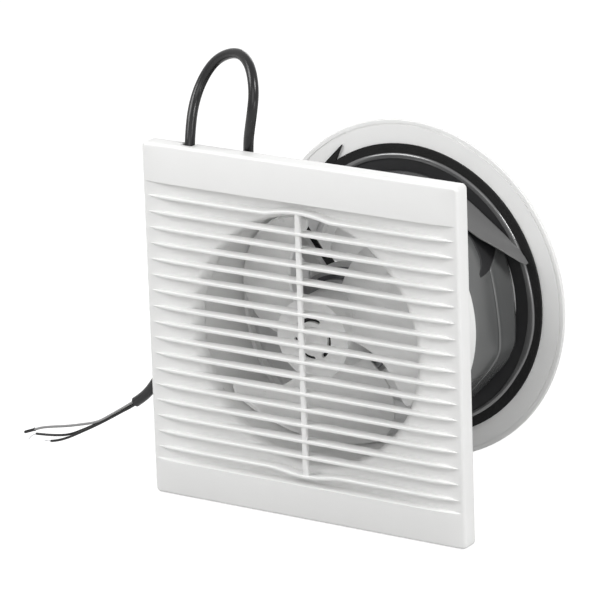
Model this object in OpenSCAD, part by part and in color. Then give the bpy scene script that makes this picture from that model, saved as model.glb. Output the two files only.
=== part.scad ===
// Through-wall exhaust fan: square slatted front panel, fan tube with motor and three-blade
// impeller, dark rolled wall sleeve, round outer flange with five gravity flaps, free power cord.
// Millimetres. +Z up, +Y out through the wall, +X to the right as seen from the room.
// The origin is on the fan axis in the wall plane, which is the back of the panel.

/* [Front panel] */
// Side of the square front panel
panel_w = 218; // [216:1:230]
// Depth of the panel's sides
panel_d = 10.6; // [10.2:0.1:12]
// Wall of the panel moulding
panel_wall = 2; // [1.6:0.1:2.2]
// Corner radius of the panel
panel_corner_r = 3; // [2:0.5:6]
// How far the panel's middle stands proud of its edges
panel_bulge = 1.8; // [0.8:0.1:2.2]

/* [Slats] */
// Number of slats, odd
slat_count = 17; // [13:2:17]
// Distance from slat to slat
slat_pitch = 9.75; // [9.4:0.05:9.8]
// Thickness of a slat
slat_t = 2; // [1.4:0.1:2.6]
// How far the slat field sits below the fan axis
slat_drop = 1.2; // [0:0.1:2]
// Depth of the dished field at its middle
dish_depth = 5.6; // [4.6:0.1:5.8]
// Width of the flat rim beside the dished field
dish_rim = 2; // [2:0.5:5]
// Wall of the dished field
dish_wall = 1.6; // [1.2:0.1:1.8]
// Width of the upright rib across the slats
rib_w = 3.6; // [3:0.1:8]
// Depth of the rib
rib_d = 1.9; // [1.5:0.1:4]
// How far the rib's front lies behind the slats' fronts
rib_setback = 0.5; // [0.3:0.1:2]

/* [Air opening] */
// Radius of the rounded air inlet's lip
mouth_round = 8.5; // [8:0.1:8.6]
// Wall of the inlet lip
mouth_wall = 1.6; // [1.2:0.1:1.8]
// Step between the inlet's throat and the fan tube's bore
mouth_step = 1; // [0.5:0.1:1.5]

/* [Base and fan tube] */
// How far the base plate's edge lies inside the panel's edge
base_inset = 11.5; // [11:0.5:13]
// Thickness of the base plate
base_t = 2; // [1.6:0.1:2.2]
// Bore radius of the fan tube
tube_r = 75; // [74:0.5:75.5]
// Wall of the fan tube
tube_wall = 2; // [1.6:0.1:2.6]
// How far the fan tube reaches behind the wall plane
tube_len = 57.7; // [57.5:0.1:64]
// Distance of the wall screws from the base plate's sides
screw_inset = 11.5; // [11:0.5:13.5]
// Spacing of the wall screws, up and down
screw_span_z = 100; // [94:1:110]
// Diameter of a wall screw hole
screw_hole_d = 4.8; // [4:0.1:5.5]
// Diameter of the panel's push-in pins
pin_d = 5; // [4:0.1:6]
// Half spacing of the push-in pins, across
pin_x = 62; // [58:1:64]
// Distance of the push-in pins from the base plate's top and bottom
pin_inset = 5; // [4.5:0.5:5.5]

/* [Impeller] */
// Gap between the blade tips and the tube
tip_gap = 1.8; // [1:0.1:3]
// Radius of the impeller's hub
hub_r = 24.5; // [22:0.5:26]
// Length of the hub
hub_len = 29; // [26:0.5:29.5]
// Wall of the hub
hub_wall = 1.8; // [1.4:0.1:2.4]
// Place of the hub's front face behind the wall plane
hub_y = 0.5; // [0.2:0.1:1.2]
// Thickness of a blade, along the fan axis
blade_t = 2; // [1.4:0.1:2.4]
// Depth of a blade at its tip, along the fan axis
blade_depth = 35; // [30:0.5:36]
// Angle that a hub slot spans
hub_slot_angle = 85; // [60:1:95]
// Middle radius of the hub slots
hub_slot_r = 11.7; // [10:0.1:14]
// Width of a hub slot
hub_slot_w = 2.4; // [1.5:0.1:3]

/* [Motor] */
// Outer radius of the motor
motor_r = 33; // [31:0.5:35]
// Thickness of the front motor cap
front_cap_t = 2.5; // [2:0.1:3]
// Length of the laminated stator
stator_len = 13; // [11:0.5:14]
// Depth of the rear motor cap
rear_cap_len = 13; // [11:0.5:14]
// Bore radius of the stator
stator_bore_r = 15; // [13:0.5:16]
// Air gap between the rotor and the stator
air_gap = 0.6; // [0.4:0.1:1]
// Radius of the motor shaft
shaft_r = 2.5; // [2:0.1:3]
// Outer radius of a bush
bush_r = 5; // [4.2:0.1:6]
// Length of a bush
bush_len = 6; // [5:0.5:8]
// Running clearance of the shaft in its bushes
shaft_fit = 0.03; // [0.02:0.01:0.05]

/* [Motor spider] */
// Width of a spider arm
arm_w = 9; // [6:0.5:12]
// Depth of the spider, along the fan axis
arm_t = 5; // [4:0.5:5.5]
// Wall of the spider's inner and outer rings
spider_wall = 2.4; // [2:0.1:3]

/* [Wall sleeve] */
// Distance from the wall plane to the front of the outer flange
wall_depth = 111.6; // [108:0.1:125]
// Thickness of the sleeve's sheet
sheet_t = 1; // [0.8:0.1:1.1]
// Gap between the sleeve and the fan tube's bore
sleeve_fit = 0.2; // [0.1:0.05:0.4]
// How far the sleeve reaches into the fan tube
sleeve_overlap = 10.5; // [9.5:0.1:11]
// Angle at which the sheet's loose corner leaves the tube
lap_from = 54; // [52:1:58]
// Angle up to which the outer layer overlaps the inner one
lap_to = 112; // [100:1:118]
// Angle that the sheet's loose corner spans
corner_angle = 35; // [30:1:36]
// How far the corner's tip stands off the tube
corner_lift = 12.6; // [10:0.1:13]

/* [Outer flange] */
// Outer radius of the round flange
flange_r = 105; // [100:0.5:112]
// Plate thickness of the flange
flange_t = 2.4; // [2:0.1:3]
// Bore radius of the flange's collar
flange_bore_r = 70; // [69:0.5:71]
// Depth of the flange with its collar
flange_depth = 12; // [11:0.5:16]
// Distance of the fine groove from the flange's edge
groove_inset = 2.5; // [2:0.1:4]
// Outer radius of the foam ring
foam_r = 90.3; // [89:0.1:94]
// Width of the foam ring
foam_w = 6.1; // [5:0.1:6.3]
// Thickness of the foam ring
foam_t = 1.6; // [1.2:0.1:2]
// Width of the dark collar's raised bead
bead_w = 4; // [3:0.1:4.4]
// Height of the raised bead
bead_t = 2; // [1.6:0.1:2.4]

/* [Flaps] */
// Distance from flap to flap
flap_pitch = 26; // [25:0.5:26.5]
// Thickness of a flap
flap_t = 1.4; // [1:0.1:2]
// Radius of a flap's pivot wire
wire_r = 0.9; // [0.7:0.1:1.1]
// Radius of a flap's barrel
barrel_r = 1.9; // [1.7:0.1:2.2]

/* [Power cord] */
// Diameter of the round power cord
cord_d = 6.2; // [6:0.1:6.4]
// Diameter of a single core
core_d = 1.5; // [1.3:0.1:1.6]

/* [Hidden] */

eps = 0.01;
round_fn = 96;
big_fn = 720;
pin_fit = 0.05;
part_gap = 0.3;
edge = panel_w / 2;
front_y = -panel_d - panel_bulge;
cavity_y = -panel_d + panel_wall;
base_w = panel_w - 2 * base_inset;
screw_x = base_w / 2 - screw_inset;
pin_z = base_w / 2 - pin_inset;

// The panel's front is flat in the middle and falls to its edges on a soft curve
bulge_run = 22;
bulge_steps = 6;
bulge_curve = [for (i = [-bulge_steps:bulge_steps], side = [0, 1])
    let (t = i / bulge_steps, a = side == 0 ? -1 : 1)
    if ((i <= 0 && side == 0) || (i >= 0 && side == 1))
    [a * (edge - dish_rim - bulge_run + bulge_run * abs(t)), -panel_d - panel_bulge * (1 - t * t)]];

// Dish of the slat field: a shallow cylinder about an upright axis in front of the panel
dish_half_w = edge - dish_rim;
dish_r = (pow(dish_half_w, 2) + pow(dish_depth, 2)) / (2 * dish_depth);
dish_cy = -panel_d + dish_depth - dish_r;
field_top = slat_z(0) + 9;
field_bottom = slat_z(slat_count - 1) - 8;

// Air inlet and fan tube
throat_r = tube_r + mouth_step;
mouth_r = throat_r + mouth_round;
mouth_end_y = -0.1;
arch_r = throat_r + 5.6;
slat_len = 1 + panel_bulge + dish_depth + dish_wall;
tube_out_r = tube_r + tube_wall;
base_hole_r = throat_r + mouth_wall + 0.8;

// Impeller and motor, from the room outwards
tip_r = tube_r - tip_gap;
blade_y = hub_y + 2.5;
hub_end_y = hub_y + hub_len;
stator_r = motor_r - 0.1;
front_cap_y = hub_end_y + 2.5;
stator_y = front_cap_y + front_cap_t;
rear_cap_y = stator_y + stator_len;
washer_t = 0.8;
washer_gap = 0.2;
rotor_y = stator_y + washer_t + 2 * washer_gap;
motor_end_y = rear_cap_y + rear_cap_len;
rotor_r = stator_bore_r - air_gap;
front_bush_y = front_cap_y - bush_len + front_cap_t;
rear_bush_y = motor_end_y - bush_len;
shaft_y = hub_y + 3.5;
shaft_end_y = motor_end_y + 1.5;
bush_bore_r = shaft_r + shaft_fit;
boss_r = 6;
hub_face_t = 2;
cap_slot_angle = 46;
cap_slot_from = 79;
cap_slot_inset = 4;
cap_slot_w = 3;
coil_angles = [72, 192, 312];
coil_angle = 42;
coil_w = 6;
coil_circle = (stator_bore_r + motor_r) / 2 - 1;
motor_bolt_r = 1.6;
motor_bolt_circle = motor_r - 4.5;
motor_bolt_angles = [42, 162, 282];
motor_bolt_head_r = 2.8;
motor_bolt_head_t = 2;

// Spider between the motor and the tube
arm_angles = [8, 128, 248];
arm_inset = 0.4;
spider_y = 41;
spider_end_y = spider_y + arm_t;
spider_in_r = stator_r;
spider_out_r = tube_r - 0.1;
spider_screw_angles = [68, 188, 308];
spider_screw_r = 1.5;
spider_screw_head_r = 3;
spider_lug_r = 5;

// Cord passage through the tube, in line with one spider arm
entry_angle = 128;
entry_y = 52;
grommet_neck_r = 4.2;
grommet_lip_r = 5.4;
grommet_lip_t = 1.1;
inner_lip_r = tube_r - 0.2 - grommet_lip_t;
outer_lip_r = tube_out_r + 0.2 + grommet_lip_t;
gland_r = 4.8;
gland_len = 6;
cord_r = cord_d / 2;

// Sleeve: an inner layer, and a lapped outer layer that ends in a loose corner
sleeve_out_r = tube_r - sleeve_fit;
sleeve_mid_r = sleeve_out_r - sheet_t;
sleeve_in_r = sleeve_mid_r - sheet_t;
sleeve_y = tube_len - sleeve_overlap;
sleeve_slot_w = 2 * grommet_lip_r + 2;
sleeve_slot_end_y = entry_y + grommet_lip_r + 1.5;
collar_in_r = sleeve_out_r + 0.1;
collar_out_r = collar_in_r + 0.9;
collar_len = 23.4;
collar_web_t = 1.9;
collar_web_r = sleeve_in_r - 1.5;
collar_end_y = wall_depth - 0.1;
sleeve_end_y = collar_end_y - collar_web_t - 0.1;
bead_r = foam_r - foam_w - 0.2;
// Loose corner: its back edge, and its front edge at the root and, as steps from the tip, beyond
corner_back_y = collar_end_y - collar_web_t - 0.4;
corner_root_y = collar_end_y - 31;
corner_front = [[0, 1.8], [2, 7], [6, 12.2], [20, 21.7]];
corner_steps = 10;
corner_root = 3;

// Flange and flaps
flange_end_y = wall_depth + flange_depth;
collar_wall = 2.4;
groove_w = 0.8;
groove_d = 0.6;
flange_ribs = 12;
flap_y = flange_end_y - 2.2;
flap_r = flange_bore_r - 1;
flap_top_z = 2.15 * flap_pitch;
flap_side_gap = 1.6;
flap_neck = 3.5;
stop_gap = 0.3;
stop_t = 1.5;
stop_w = 2;
wire_fit = 0.05;
flap_gap = 0.6;
collar_screw_circle = bead_r - bead_w - 2.3;
collar_screw_angles = [45, 135, 225, 315];
collar_screw_r = 1.3;
collar_screw_head_r = 2.6;
collar_screw_head_t = 1.8;
collar_screw_y = collar_end_y - collar_web_t + 0.6;

// Cord channel: the base plate's corner is cut back where the cord passes
left = -edge;
corner_cut = [[left + 35, base_w / 2 + 1], [left + 35, edge - 21], [left + 22, edge - 46.5],
    [left + 15, edge - 59], [-base_w / 2, edge - 69], [-base_w / 2 - 1, edge - 70],
    [-base_w / 2 - 1, base_w / 2 + 1]];
top_notch_x = left + 29.3;
top_notch_y = -2.2;
notch_gap = 0.8;
side_notch_z = [-49, -28];
side_notch_y = -7.2;

// Route of the power cord, from inside the motor out through the tube wall, up behind the
// panel, round the free loop, down the channel inside the panel and out at its left side
feed_points = [[-19.1, entry_y, 24.4], [-32, entry_y, 41], [-39.4, entry_y, 50.4],
    [-46.8, entry_y, 59.9]];
loop_points = [[-51.7, entry_y, 66.2], [-56.8, 50.8, 73.4], [-60, 45.4, 81], [-60, 37, 86.5],
    [-57, 28, 89.5], [-52, 18.8, 92.5], [-47, 10.2, edge - 10], [-43, 4.4, edge - 0.5],
    [-40, 0.8, edge + 7.5], [-36.2, -2.4, edge + 17.5], [-34, -3.2, edge + 26.5],
    [-34, -1.3, edge + 35], [-36.5, 2, edge + 43], [-42.5, 7.5, edge + 50],
    [-52, 13.5, edge + 53.5], [-64, 17.5, edge + 51.5], [left + 35, 18.5, edge + 45.5],
    [left + 29, 17, edge + 37.5], [left + 26, 14, edge + 29.5], [left + 25.3, 10, edge + 22],
    [left + 26.3, 5.3, edge + 14.8], [left + 27.6, 1.4, edge + 7], [left + 29, -2, edge - 1]];
channel_points = [[left + 30, -3.2, edge - 10], [left + 29.5, -3.4, edge - 18],
    [left + 26.7, -3.4, edge - 28], [left + 22, -3.4, edge - 37], [left + 16, -3.5, edge - 46],
    [left + 11, -3.6, edge - 55], [left + 8.2, -3.6, edge - 65], [left + 7.7, -3.6, 32],
    [left + 7.7, -3.6, 18], [left + 7.7, -3.6, 4], [left + 7.7, -3.6, -10]];
tail_points = [[left + 7, -3.6, -22], [left + 4.4, -3.4, -32], [left - 0.4, -3.2, -40],
    [left - 5.1, -3.1, -46.5], [left - 10.8, -3, -52.5], [left - 17.4, -3, -57.4]];
cord_route = concat(feed_points, loop_points, channel_points, tail_points);
feed_end = len(feed_points) - 1;
loop_end = feed_end + len(loop_points);
channel_end = loop_end + len(channel_points);
ferrule_len = 8;
ferrule_wall = 0.2;
// Routes of the three cores beyond the cut end of the cord's sheath
grey_route = [[left - 18, -3.55, -56.6], [left - 19.9, -3.55, -58], [left - 27, -3.8, -62.7],
    [left - 36, -3.9, -68.4], [left - 45.3, -3.9, -73.9], [left - 57, -3.6, -77.6],
    [left - 69.4, -3.3, -80.8], [left - 82, -3.1, -83.4], [left - 88.6, -3, -85],
    [left - 94.5, -3, -87.2]];
black_route = [[left - 17.4, -1.85, -57.4], [left - 19.3, -1.85, -58.85], [left - 27, -1.9, -63.7],
    [left - 36, -2.1, -69.3], [left - 45.3, -2.2, -74.8], [left - 57, -2.2, -81.1],
    [left - 69.4, -2.3, -86.6], [left - 81.4, -2.5, -88.8], [left - 93.2, -2.6, -89.8]];
dark_route = [[left - 16.8, -3.55, -58.2], [left - 18.7, -3.55, -59.65], [left - 27, -3.8, -64.7],
    [left - 36, -3.9, -70.2], [left - 45.2, -3.9, -75.6], [left - 57, -3.9, -82],
    [left - 69.4, -3.8, -88.3], [left - 75.6, -3.6, -90.8], [left - 81.7, -3.5, -92.4]];

function slat_z(k) = ((slat_count - 1) / 2 - k) * slat_pitch - slat_drop;
function polar(r, a) = [r * cos(a), r * sin(a)];
function unit(v) = v / norm(v);
function tangent(p, i) = unit(p[min(i + 1, len(p) - 1)] - p[max(i - 1, 0)]);
function side_vector(p, i) = i <= 0
    ? unit(cross(tangent(p, 0), [0.3, 1, 0.2]))
    : let (before = side_vector(p, i - 1), t = tangent(p, i)) unit(before - (before * t) * t);

// A flat outline in X and Z, given a thickness along Y from y0 on
module plate_y(y0, t) {
    translate([0, y0 + t, 0]) rotate([90, 0, 0]) linear_extrude(t) children();
}

// An outline of radius and Y, turned round the fan axis
module round_y(fn = round_fn) {
    rotate([-90, 0, 0]) rotate_extrude($fn = fn) children();
}

// A round rod along Y
module rod_y(r, y0, y1, fn = 48) {
    translate([0, y0, 0]) rotate([-90, 0, 0]) cylinder(r = r, h = y1 - y0, $fn = fn);
}

// Places its children on the fan axis's circle of radius r at an angle in the X-Z plane
module at_polar(r, a) {
    translate([r * cos(a), 0, r * sin(a)]) children();
}

// A rod along the radius at angle a and depth y, from radius r0 to r1
module rod_radial(a, y, r0, r1, rod_r, fn = 48) {
    rotate([0, -a, 0]) translate([r0, y, 0]) rotate([0, 90, 0]) cylinder(r = rod_r, h = r1 - r0, $fn = fn);
}

module rounded_square(w, r) {
    square([w, w - 2 * r], center = true);
    square([w - 2 * r, w], center = true);
    for (x = [-1, 1], z = [-1, 1]) translate([x * (w / 2 - r), z * (w / 2 - r)]) circle(r, $fn = 32);
}

// A slot bent round the origin: middle radius r, width w, from angle a0 over span a
module arc_slot(r, w, a0, a) {
    intersection() {
        difference() {
            circle(r + w / 2, $fn = round_fn);
            circle(r - w / 2, $fn = round_fn);
        }
        polygon([[0, 0], polar(3 * r, a0), polar(3 * r, a0 + a / 2), polar(3 * r, a0 + a)]);
    }
}

// The same with rounded ends
module round_slot(r, w, a0, a) {
    arc_slot(r, w, a0, a);
    for (e = [a0, a0 + a]) translate(polar(r, e)) circle(w / 2 - 0.02, $fn = 24);
}

// A tube of n sides along a route, from its point first to its point last
module swept(route, r, n, first, last) {
    rings = [for (i = [first:last])
        let (t = tangent(route, i), u = side_vector(route, i), v = cross(t, u))
        for (k = [0:n - 1]) route[i] + r * (cos(360 * k / n) * u + sin(360 * k / n) * v)];
    rows = last - first;
    sides = [for (i = [0:rows - 1], k = [0:n - 1])
        [(i + 1) * n + k, (i + 1) * n + (k + 1) % n, i * n + (k + 1) % n, i * n + k]];
    start = [for (k = [0:n - 1]) k];
    finish = [for (k = [0:n - 1]) rows * n + n - 1 - k];
    polyhedron(points = rings, faces = concat([start, finish], sides), convexity = 10);
}

// The space in front of the dished field, moved back by extra
module dish_space(extra = 0) {
    translate([0, dish_cy, 0]) cylinder(r = dish_r + extra, h = panel_w, center = true, $fn = big_fn);
}

// The panel's outer form: a box with soft edges and a front that bulges in both directions
module panel_form() {
    plate_y(-panel_d, panel_d) rounded_square(panel_w, panel_corner_r);
    bulge();
}

module bulge() {
    intersection() {
        translate([0, 0, -edge]) linear_extrude(panel_w) bulge_outline();
        rotate([0, 90, 0]) translate([0, 0, -edge]) linear_extrude(panel_w) bulge_outline();
    }
}

module bulge_outline() {
    polygon(concat([[-edge + dish_rim, cavity_y]], bulge_curve, [[edge - dish_rim, cavity_y]]));
}

// The slat field's block, with extra height at its top and bottom for the shelves there
module field_box(y0, y1, extra = 0) {
    translate([-dish_half_w, y0, field_bottom - extra])
        cube([2 * dish_half_w, y1 - y0, field_top - field_bottom + 2 * extra]);
}

// The air inlet's inner space, out to the rounded lip
module mouth_space() {
    round_y() difference() {
        translate([0, front_y - 1]) square([mouth_r, mouth_end_y + 2 - front_y]);
        translate([mouth_r, mouth_end_y]) circle(mouth_round, $fn = 64);
        translate([throat_r, mouth_end_y]) square([mouth_round + 1, 2]);
    }
}

module mouth_lip() {
    round_y() intersection() {
        difference() {
            translate([mouth_r, mouth_end_y]) circle(mouth_round, $fn = 64);
            translate([mouth_r, mouth_end_y]) circle(mouth_round - mouth_wall, $fn = 64);
        }
        translate([throat_r - 1, mouth_end_y - mouth_round]) square([mouth_round + 1, mouth_round]);
    }
}

module straight_slat(k) {
    translate([-dish_half_w, front_y - 1, slat_z(k) - slat_t / 2])
        cube([2 * dish_half_w, slat_len, slat_t]);
}

// The first and last slats step round the opening on an arc
module slat(k) {
    is_end = k == 0 || k == slat_count - 1;
    difference() {
        straight_slat(k);
        if (is_end) rod_y(arch_r, front_y - 2, 1, round_fn);
    }
    if (is_end) intersection() {
        round_y() translate([arch_r - slat_t / 2, front_y - 1]) square([slat_t, slat_len]);
        translate([-edge, front_y - 2, k == 0 ? slat_z(k) - slat_t / 2 : -panel_w])
            cube([panel_w, panel_d + 3, k == 0 ? panel_w : panel_w + slat_z(k) + slat_t / 2]);
    }
}

module front_grille() {
    color("whitesmoke") {
        difference() {
            union() {
                difference() {
                    panel_form();
                    plate_y(cavity_y, panel_d) rounded_square(panel_w - 2 * panel_wall, panel_corner_r - 1);
                    translate([0, panel_wall + eps, 0]) bulge();
                }
                intersection() {
                    field_box(-panel_d, cavity_y + dish_depth, dish_wall);
                    dish_space(dish_wall);
                }
                mouth_lip();
            }
            intersection() {
                field_box(front_y - 1, 0);
                dish_space();
            }
            mouth_space();
            translate([top_notch_x - cord_r - notch_gap, top_notch_y - cord_r - notch_gap, panel_w / 2 - 5])
                cube([cord_d + 2 * notch_gap, 20, 10]);
            translate([-panel_w / 2 - 5, side_notch_y, side_notch_z[0]])
                cube([10, 20, side_notch_z[1] - side_notch_z[0]]);
        }
        intersection() {
            for (k = [0:slat_count - 1]) slat(k);
            dish_space(0.5);
            panel_form();
        }
        translate([-rib_w / 2, front_y + rib_setback, -arch_r])
            cube([rib_w, rib_d, 2 * arch_r]);
        for (x = [-pin_x, pin_x], z = [-pin_z, pin_z])
            translate([x, 0, z]) rod_y(pin_d / 2, -panel_d - 0.5, -0.4);
    }
}

module base_frame() {
    color("white") difference() {
        union() {
            plate_y(-base_t, base_t) difference() {
                square([base_w, base_w], center = true);
                polygon(corner_cut);
            }
            rod_y(tube_out_r, -base_t, tube_len, round_fn);
            for (x = [-pin_x, pin_x], z = [-pin_z, pin_z])
                translate([x, 0, z]) rod_y(pin_d / 2 + 1.6, -base_t - 1.5, 0);
        }
        rod_y(base_hole_r, -base_t - 1, 0, round_fn);
        rod_y(tube_r, -base_t - 1, tube_len + 1, round_fn);
        for (x = [-screw_x, screw_x], z = [-screw_span_z / 2, screw_span_z / 2])
            translate([x, 0, z]) rod_y(screw_hole_d / 2, -base_t - 1, 1);
        for (x = [-pin_x, pin_x], z = [-pin_z, pin_z])
            translate([x, 0, z]) rod_y(pin_d / 2 + pin_fit, -base_t - 3, 1);
        rod_radial(entry_angle, entry_y, tube_r - 3, tube_out_r + 3, grommet_neck_r);
        for (a = spider_screw_angles)
            rod_radial(a, spider_y + arm_t / 2, tube_r - 3, tube_out_r + 3, spider_screw_r);
    }
    color("white") difference() {
        round_y() translate([tube_r, 0]) square([base_hole_r - tube_r + 1, base_t]);
        for (a = spider_screw_angles)
            rod_radial(a, spider_y + arm_t / 2, tube_r - 3, tube_out_r + 3, spider_screw_r);
    }
}

module tube_grommet() {
    color("dimgray") difference() {
        union() {
            rod_radial(entry_angle, entry_y, inner_lip_r, outer_lip_r, grommet_neck_r);
            rod_radial(entry_angle, entry_y, outer_lip_r - grommet_lip_t, outer_lip_r, grommet_lip_r);
            rod_radial(entry_angle, entry_y, inner_lip_r, inner_lip_r + grommet_lip_t, grommet_lip_r);
        }
        rod_radial(entry_angle, entry_y, tube_r - 5, tube_out_r + 5, cord_r);
    }
}

module motor_spider() {
    color("white") difference() {
        union() {
            round_y() translate([spider_in_r, spider_y]) square([spider_wall, arm_t]);
            round_y() translate([spider_out_r - spider_wall, spider_y]) square([spider_wall, arm_t]);
            for (a = arm_angles) rotate([0, -a, 0])
                translate([spider_in_r + 1.2, spider_y + arm_inset, -arm_w / 2])
                    cube([spider_out_r - spider_in_r - 2.4, arm_t - 2 * arm_inset, arm_w]);
        }
        for (a = spider_screw_angles)
            rod_radial(a, spider_y + arm_t / 2, spider_out_r - 8, spider_out_r + 3, spider_screw_r);
    }
}

module spider_screws() {
    color("silver") for (a = spider_screw_angles) {
        rod_radial(a, spider_y + arm_t / 2, spider_out_r - spider_wall, tube_out_r + 0.5, spider_screw_r);
        rod_radial(a, spider_y + arm_t / 2, tube_out_r, tube_out_r + 2, spider_screw_head_r);
    }
}

module motor_front_cap() {
    color("gainsboro") difference() {
        union() {
            rod_y(motor_r, front_cap_y, stator_y, round_fn);
            rod_y(bush_r + 2.5, front_bush_y, stator_y);
        }
        rod_y(bush_r, front_bush_y - 1, stator_y + 1);
        for (a = [0, 120, 240]) plate_y(front_cap_y - 1, front_cap_t + 2)
            round_slot(motor_r - cap_slot_inset, cap_slot_w, cap_slot_from + a, cap_slot_angle);
        for (a = motor_bolt_angles)
            at_polar(motor_bolt_circle, a) rod_y(motor_bolt_r + 0.05, front_cap_y - 1, stator_y + 1);
    }
}

module motor_rear_cap() {
    color("gainsboro") difference() {
        rod_y(motor_r, rear_cap_y, motor_end_y, round_fn);
        rod_y(motor_r - 2, rear_cap_y - 1, motor_end_y - 2, round_fn);
        rod_y(bush_r, rear_cap_y - 1, motor_end_y + 1);
        for (a = motor_bolt_angles)
            at_polar(motor_bolt_circle, a) rod_y(motor_bolt_r + 0.05, rear_cap_y - 1, motor_end_y + 1);
        rod_radial(entry_angle, entry_y, motor_r - 5, motor_r + 5, cord_r + 0.7);
    }
    color("gainsboro") difference() {
        rod_y(bush_r + 2, rear_bush_y, motor_end_y);
        rod_y(bush_r, rear_bush_y - 1, motor_end_y + 1);
    }
}

module motor_bolts() {
    color("silver") for (a = motor_bolt_angles) at_polar(motor_bolt_circle, a) {
        rod_y(motor_bolt_r, front_cap_y, motor_end_y + 0.5);
        rod_y(motor_bolt_head_r, motor_end_y, motor_end_y + motor_bolt_head_t);
        rod_y(motor_bolt_head_r, front_cap_y - 1.2, front_cap_y, 6);
    }
}

module stator_core() {
    color("dimgray") difference() {
        rod_y(stator_r, stator_y, rear_cap_y, round_fn);
        rod_y(stator_bore_r, stator_y - 1, rear_cap_y + 1, round_fn);
        for (a = motor_bolt_angles)
            at_polar(motor_bolt_circle, a) rod_y(motor_bolt_r + 0.05, stator_y - 1, rear_cap_y + 1);
        for (a = coil_angles) plate_y(stator_y - 1, stator_len + 2)
            arc_slot(coil_circle, coil_w + 1, a - coil_angle / 2 - 1, coil_angle + 2);
    }
}

module stator_coils() {
    color("peru") for (a = coil_angles) plate_y(stator_y + 0.2, stator_len + 3)
        arc_slot(coil_circle, coil_w, a - coil_angle / 2, coil_angle);
}

module bush(y) {
    color("goldenrod") difference() {
        rod_y(bush_r, y, y + bush_len);
        rod_y(bush_bore_r, y - 1, y + bush_len + 1);
    }
}

module front_bush() bush(front_bush_y);
module rear_bush() bush(rear_bush_y);

module rotor_core() {
    color("slategray") difference() {
        rod_y(rotor_r, rotor_y, rear_cap_y, round_fn);
        rod_y(shaft_r, rotor_y - 1, rear_cap_y + 1);
    }
}

module motor_shaft() {
    color("silver") difference() {
        rod_y(shaft_r, shaft_y, shaft_end_y);
        round_y(48) translate([shaft_r - 0.5, shaft_y + 1]) square([1, 0.8]);
    }
}

// One washer on the shaft at the inner end of each bush
module thrust_washers() {
    color("ivory") for (y = [stator_y + washer_gap, rear_bush_y - washer_t - washer_gap]) difference() {
        rod_y(bush_r - 0.6, y, y + washer_t);
        rod_y(shaft_r, y - 1, y + washer_t + 1);
    }
}

function blade_front_angle(r) = lookup(r, [[0, 124], [hub_r, 124], [0.61 * tip_r, 111], [0.82 * tip_r, 98],
    [0.91 * tip_r, 93], [0.97 * tip_r, 92.5], [0.99 * tip_r, 94], [tip_r, 97]]);
function blade_rear_angle(r) = lookup(r, [[0, 202], [hub_r, 202], [0.61 * tip_r, 195], [0.83 * tip_r, 184],
    [0.95 * tip_r, 174], [tip_r, 168]]);
function blade_rear_depth(r) = lookup(r, [[0, hub_len - 5], [hub_r, hub_len - 5],
    [tip_r, blade_depth - blade_t]]);
function blade_angle(r, c) = blade_front_angle(r) + c * (blade_rear_angle(r) - blade_front_angle(r));
function blade_camber(r, c) = 2.2 * sin(180 * c) * r / tip_r;
function blade_point(r, c, back) = let (a = blade_angle(r, c))
    [r * cos(a), blade_y + c * blade_rear_depth(r) + blade_camber(r, c) + back * blade_t, r * sin(a)];

module blade() {
    steps = 12;
    root_r = hub_r - hub_wall / 2;
    radii = [for (i = [0:steps]) root_r + (tip_r - root_r) * (i < steps ? pow(i / steps, 0.85) : 1)];
    row = steps + 1;
    points = [for (back = [0, 1], i = [0:steps], j = [0:steps]) blade_point(radii[i], j / steps, back)];
    function at(back, i, j) = back * row * row + i * row + j;
    skins = [for (i = [0:steps - 1], j = [0:steps - 1], half = [0, 1], back = [0, 1])
        let (a = at(back, i, j), b = at(back, i + 1, j), c = at(back, i + 1, j + 1), d = at(back, i, j + 1),
            f = half == 0 ? [a, b, c] : [a, c, d])
        back == 0 ? [f[2], f[1], f[0]] : f];
    function wall(a, b, c, d) = [[a, b, c], [a, c, d]];
    edges = [for (k = [0:steps - 1], w = [
        wall(at(0, 0, k), at(0, 0, k + 1), at(1, 0, k + 1), at(1, 0, k)),
        wall(at(0, steps, k + 1), at(0, steps, k), at(1, steps, k), at(1, steps, k + 1)),
        wall(at(0, k + 1, 0), at(0, k, 0), at(1, k, 0), at(1, k + 1, 0)),
        wall(at(0, k, steps), at(0, k + 1, steps), at(1, k + 1, steps), at(1, k, steps))]) for (f = w) f];
    polyhedron(points = points, faces = concat(skins, edges), convexity = 6);
}

module impeller_hub() {
    color("lightgray") difference() {
        union() {
            difference() {
                rod_y(hub_r, hub_y, hub_end_y, round_fn);
                rod_y(hub_r - hub_wall, hub_y + hub_face_t, hub_end_y + 1, round_fn);
            }
            rod_y(boss_r, hub_y + hub_face_t / 2, front_bush_y - 1.2);
        }
        rod_y(shaft_r, shaft_y - 0.5, hub_end_y);
        for (a = [68, 188, 308]) plate_y(hub_y - 1, hub_face_t + 2)
            round_slot(hub_slot_r, hub_slot_w, a, hub_slot_angle);
    }
}

// The blades run on into the hub's wall
module impeller_blades() {
    color("lightgray") for (k = [0:2]) rotate([0, -120 * k, 0]) blade();
}

// Spring clip on the shaft behind the impeller's boss
module impeller_clip() {
    color("gray") difference() {
        rod_y(shaft_r + 1.8, front_bush_y - 1.1, front_bush_y - 0.5);
        rod_y(shaft_r, front_bush_y - 3, front_bush_y);
    }
}

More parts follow.
